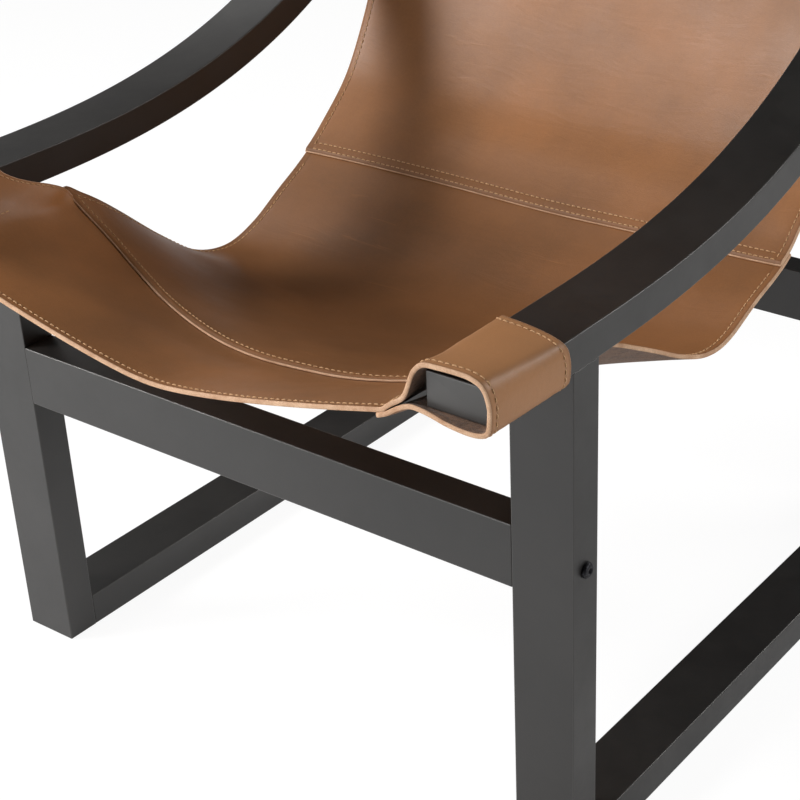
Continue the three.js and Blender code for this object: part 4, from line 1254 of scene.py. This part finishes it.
def band_piece(name, node, mouth, station_of, turned=False):
    """A band with a sleeve at each end, its edge rows, and the two rows that close each sleeve's flap."""
    grid, distances = band_grid(mouth, station_of, turned)
    length = float(distances[-1])
    mouth_distance = np.abs(distances - BAND_ROW_INSET)
    rear_distance = np.abs(length - distances - BAND_ROW_INSET)
    origin, _, up = mouth
    above = (grid[..., 1:] - origin) @ up
    outer = np.abs(grid[..., 0]) > INNER_FACE - SLEEVE_MARGIN
    sleeve = outer | (above > -ARM_THICKNESS * SLEEVE_BELOW)
    nearer = np.minimum(mouth_distance, rear_distance)
    row_distance = np.where(sleeve, nearer[:, None], mouth_distance[:, None])
    from_left = walk(np.swapaxes(grid, 0, 1)).T
    from_right = walk(np.swapaxes(grid[:, ::-1], 0, 1)).T[:, ::-1]
    from_flap = np.minimum(from_left, from_right)
    edge_distance = np.minimum(np.minimum(distances, length - distances)[:, None], from_flap)
    full = np.zeros(row_distance.shape)
    # The sleeves' paler mark: partly pull-up of waxed leather, partly painted light on the sleeves
    drawn = smooth_step(np.abs(grid[..., 0]), INNER_FACE - DRAWN_BEFORE, INNER_FACE + DRAWN_PAST)
    piece = leather_sheet(name, grid, row_distance, edge_distance, full, drawn)
    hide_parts(node)
    number = nearest(distances, BAND_ROW_INSET)
    lines = [surface_row(grid, number, full, from_flap[number] > MOUTH_ROW_GAP)]
    number = nearest(length - distances, BAND_ROW_INSET)
    keep = sleeve & (from_flap > REAR_ROW_GAP) & (above > -ARM_THICKNESS * REAR_ROW_BELOW)
    half = grid.shape[1] // 2
    for columns in (slice(None, half), slice(half, None)):
        lines.append(surface_row(grid, (number, columns), full, keep[number, columns]))
    normals = sheet_normals(grid)
    lines += [flap_row(grid, normals, side, row) for side in (-1, 1) for row in FLAP_ROWS]
    stitching(f"{name}_stitching", lines)


def build_bands():
    band_piece("front_band_leather", "front_band", FRONT_MOUTH, lambda s: s)
    band_piece("top_band_leather", "top_band", TOP_MOUTH, lambda s: LAST_STATION - s, turned=True)


# Stage: floor, light and camera

PHOTO_PIXELS = 800
FOCAL_PIXELS = 1843.1
CENTRE_PIXEL = (509.2, 438.2)
CAMERA_PLACE = (1011.3, -1007.1, 1119.4)
CAMERA_AZIMUTH = math.radians(35.849)
CAMERA_ELEVATION = math.radians(29.436)
CAMERA_ROLL = math.radians(-1.071)
SENSOR = 36.0

# Name, azimuth and elevation that it shines from, distance and size in metres, strength, colour
LAMPS = [
    ("key_light", -46, 29, 2.8, 0.8, 57.0, (1.0, 0.98, 0.96)),
    ("left_light", -94, 36, 2.8, 1.4, 15.0, (1.0, 0.99, 0.98)),
    ("right_light", 95, 20, 2.8, 1.4, 24.0, (1.0, 1.0, 1.0)),
    ("rear_light", 145, 31, 2.8, 0.9, 26.0, (1.0, 0.99, 0.97)),
    ("front_light", -18, 12, 2.8, 1.4, 27.0, (0.98, 0.99, 1.0)),
]
LAMP_TARGET_HEIGHT = 350.0
WORLD_STRENGTH = 0.04
FLOOR_HALF, FLOOR_POINTS = 9000.0, 9
FLOOR_TONES = (0.86, 0.88)
SWEEP_GLOW = 1.08
SWEEP_SHARE = 0.85
# How brightly the floor mirrors at the left, and how far from the middle line that fades, in metres
MIRRORED_SHARE, MIRRORED_REACH = 0.5, 0.6


def build_floor():
    """A broad pale floor just under the glides, nearly white, with a light shadow of the chair."""
    places = np.linspace(-FLOOR_HALF, FLOOR_HALF, FLOOR_POINTS)
    x, y = np.meshgrid(places, places)
    points = np.stack([x, y, np.full_like(x, -ORIGIN[2])], axis=-1).reshape(-1, 3)
    material, tree, shader = new_material("pale_floor", Roughness=0.8, Specular_IOR_Level=0.2)
    coordinates = object_place(tree)
    cloud = ramp(tree, noise(tree, coordinates, 1.5, detail=2.0), 0.3, 0.7)
    pale, paler = ((tone, tone, tone, 1.0) for tone in FLOOR_TONES)
    feed(tree, blend(tree, cloud, pale, paler), shader, "Base Color")
    glow = add_node(tree, "ShaderNodeEmission", Strength=SWEEP_GLOW)
    mixed = add_node(tree, "ShaderNodeMixShader")
    path = add_node(tree, "ShaderNodeLightPath")
    across = part_of(tree, coordinates, "X")
    toward_left = ramp(tree, across, -MIRRORED_REACH, MIRRORED_REACH, MIRRORED_SHARE, 0.0)
    mirrored = times(tree, path.outputs["Is Glossy Ray"], toward_left)
    seen = times(tree, path.outputs["Is Camera Ray"], SWEEP_SHARE)
    feed(tree, maths(tree, "MAXIMUM", seen, mirrored), mixed, 0)
    feed(tree, shader.outputs[0], mixed, 1)
    feed(tree, glow.outputs[0], mixed, 2)
    feed(tree, mixed.outputs[0], tree.nodes["Material Output"], "Surface")
    mesh = bpy.data.meshes.new("floor")
    mesh.from_pydata(place(points).tolist(), [], grid_quads(FLOOR_POINTS, FLOOR_POINTS).tolist())
    mesh.materials.append(material)
    floor = add_object("floor", mesh)


def build_world():
    """A plain room: white where the camera looks past the floor, and dim as a light and in reflections."""
    world = bpy.data.worlds.new("studio")
    bpy.context.scene.world = world
    world.use_nodes = True
    tree = world.node_tree
    background = tree.nodes["Background"]
    background.inputs["Color"].default_value = (1.0, 1.0, 1.0, 1.0)
    camera_ray = add_node(tree, "ShaderNodeLightPath").outputs["Is Camera Ray"]
    feed(tree, ramp(tree, camera_ray, 0.0, 1.0, WORLD_STRENGTH, 1.0), background, "Strength")


def aim(azimuth, elevation):
    """Direction from the chair toward a lamp or viewer at that azimuth and elevation."""
    flat = math.cos(elevation)
    return np.array([math.sin(azimuth) * flat, -math.cos(azimuth) * flat, math.sin(elevation)])


def matrix_from(right, up, back, origin):
    columns = np.column_stack([right, up, back, origin])
    return Matrix([*columns.tolist(), [0.0, 0.0, 0.0, 1.0]])


def build_lamps():
    centre = place([0.0, BASE_DEPTH / 2, LAMP_TARGET_HEIGHT])
    for name, azimuth, elevation, distance, size, power, colour in LAMPS:
        lamp = bpy.data.lights.new(name, "AREA")
        lamp.shape = "SQUARE"
        lamp.size = size
        lamp.energy = power
        lamp.color = colour
        holder = add_object(name, lamp)
        toward = aim(math.radians(azimuth), math.radians(elevation))
        right = unit(np.cross([0.0, 1e-4, 1.0], toward))
        holder.matrix_world = matrix_from(right, np.cross(toward, right), toward, centre + toward * distance)


def build_camera():
    """The photo's own viewpoint, with the shift that its framing needs."""
    camera = bpy.data.cameras.new("camera")
    camera.sensor_width = SENSOR
    camera.sensor_fit = "HORIZONTAL"
    camera.lens = SENSOR * FOCAL_PIXELS / PHOTO_PIXELS
    camera.shift_x = (PHOTO_PIXELS / 2 - CENTRE_PIXEL[0]) / PHOTO_PIXELS
    camera.shift_y = (CENTRE_PIXEL[1] - PHOTO_PIXELS / 2) / PHOTO_PIXELS
    camera.clip_start = 0.05
    camera.clip_end = 60.0
    back = aim(CAMERA_AZIMUTH, CAMERA_ELEVATION)
    level = np.array([math.cos(CAMERA_AZIMUTH), math.sin(CAMERA_AZIMUTH), 0.0])
    upright = np.cross(back, level)
    right = math.cos(CAMERA_ROLL) * level + math.sin(CAMERA_ROLL) * upright
    up = np.cross(back, right)
    holder = add_object("camera", camera)
    holder.matrix_world = matrix_from(right, up, back, place(CAMERA_PLACE))
    bpy.context.scene.camera = holder


dress_frame()
build_wood()
build_bolts()
build_panels()
build_bands()
build_floor()
build_world()
build_lamps()
build_camera()

scene = bpy.context.scene
scene.view_settings.view_transform = "Standard"
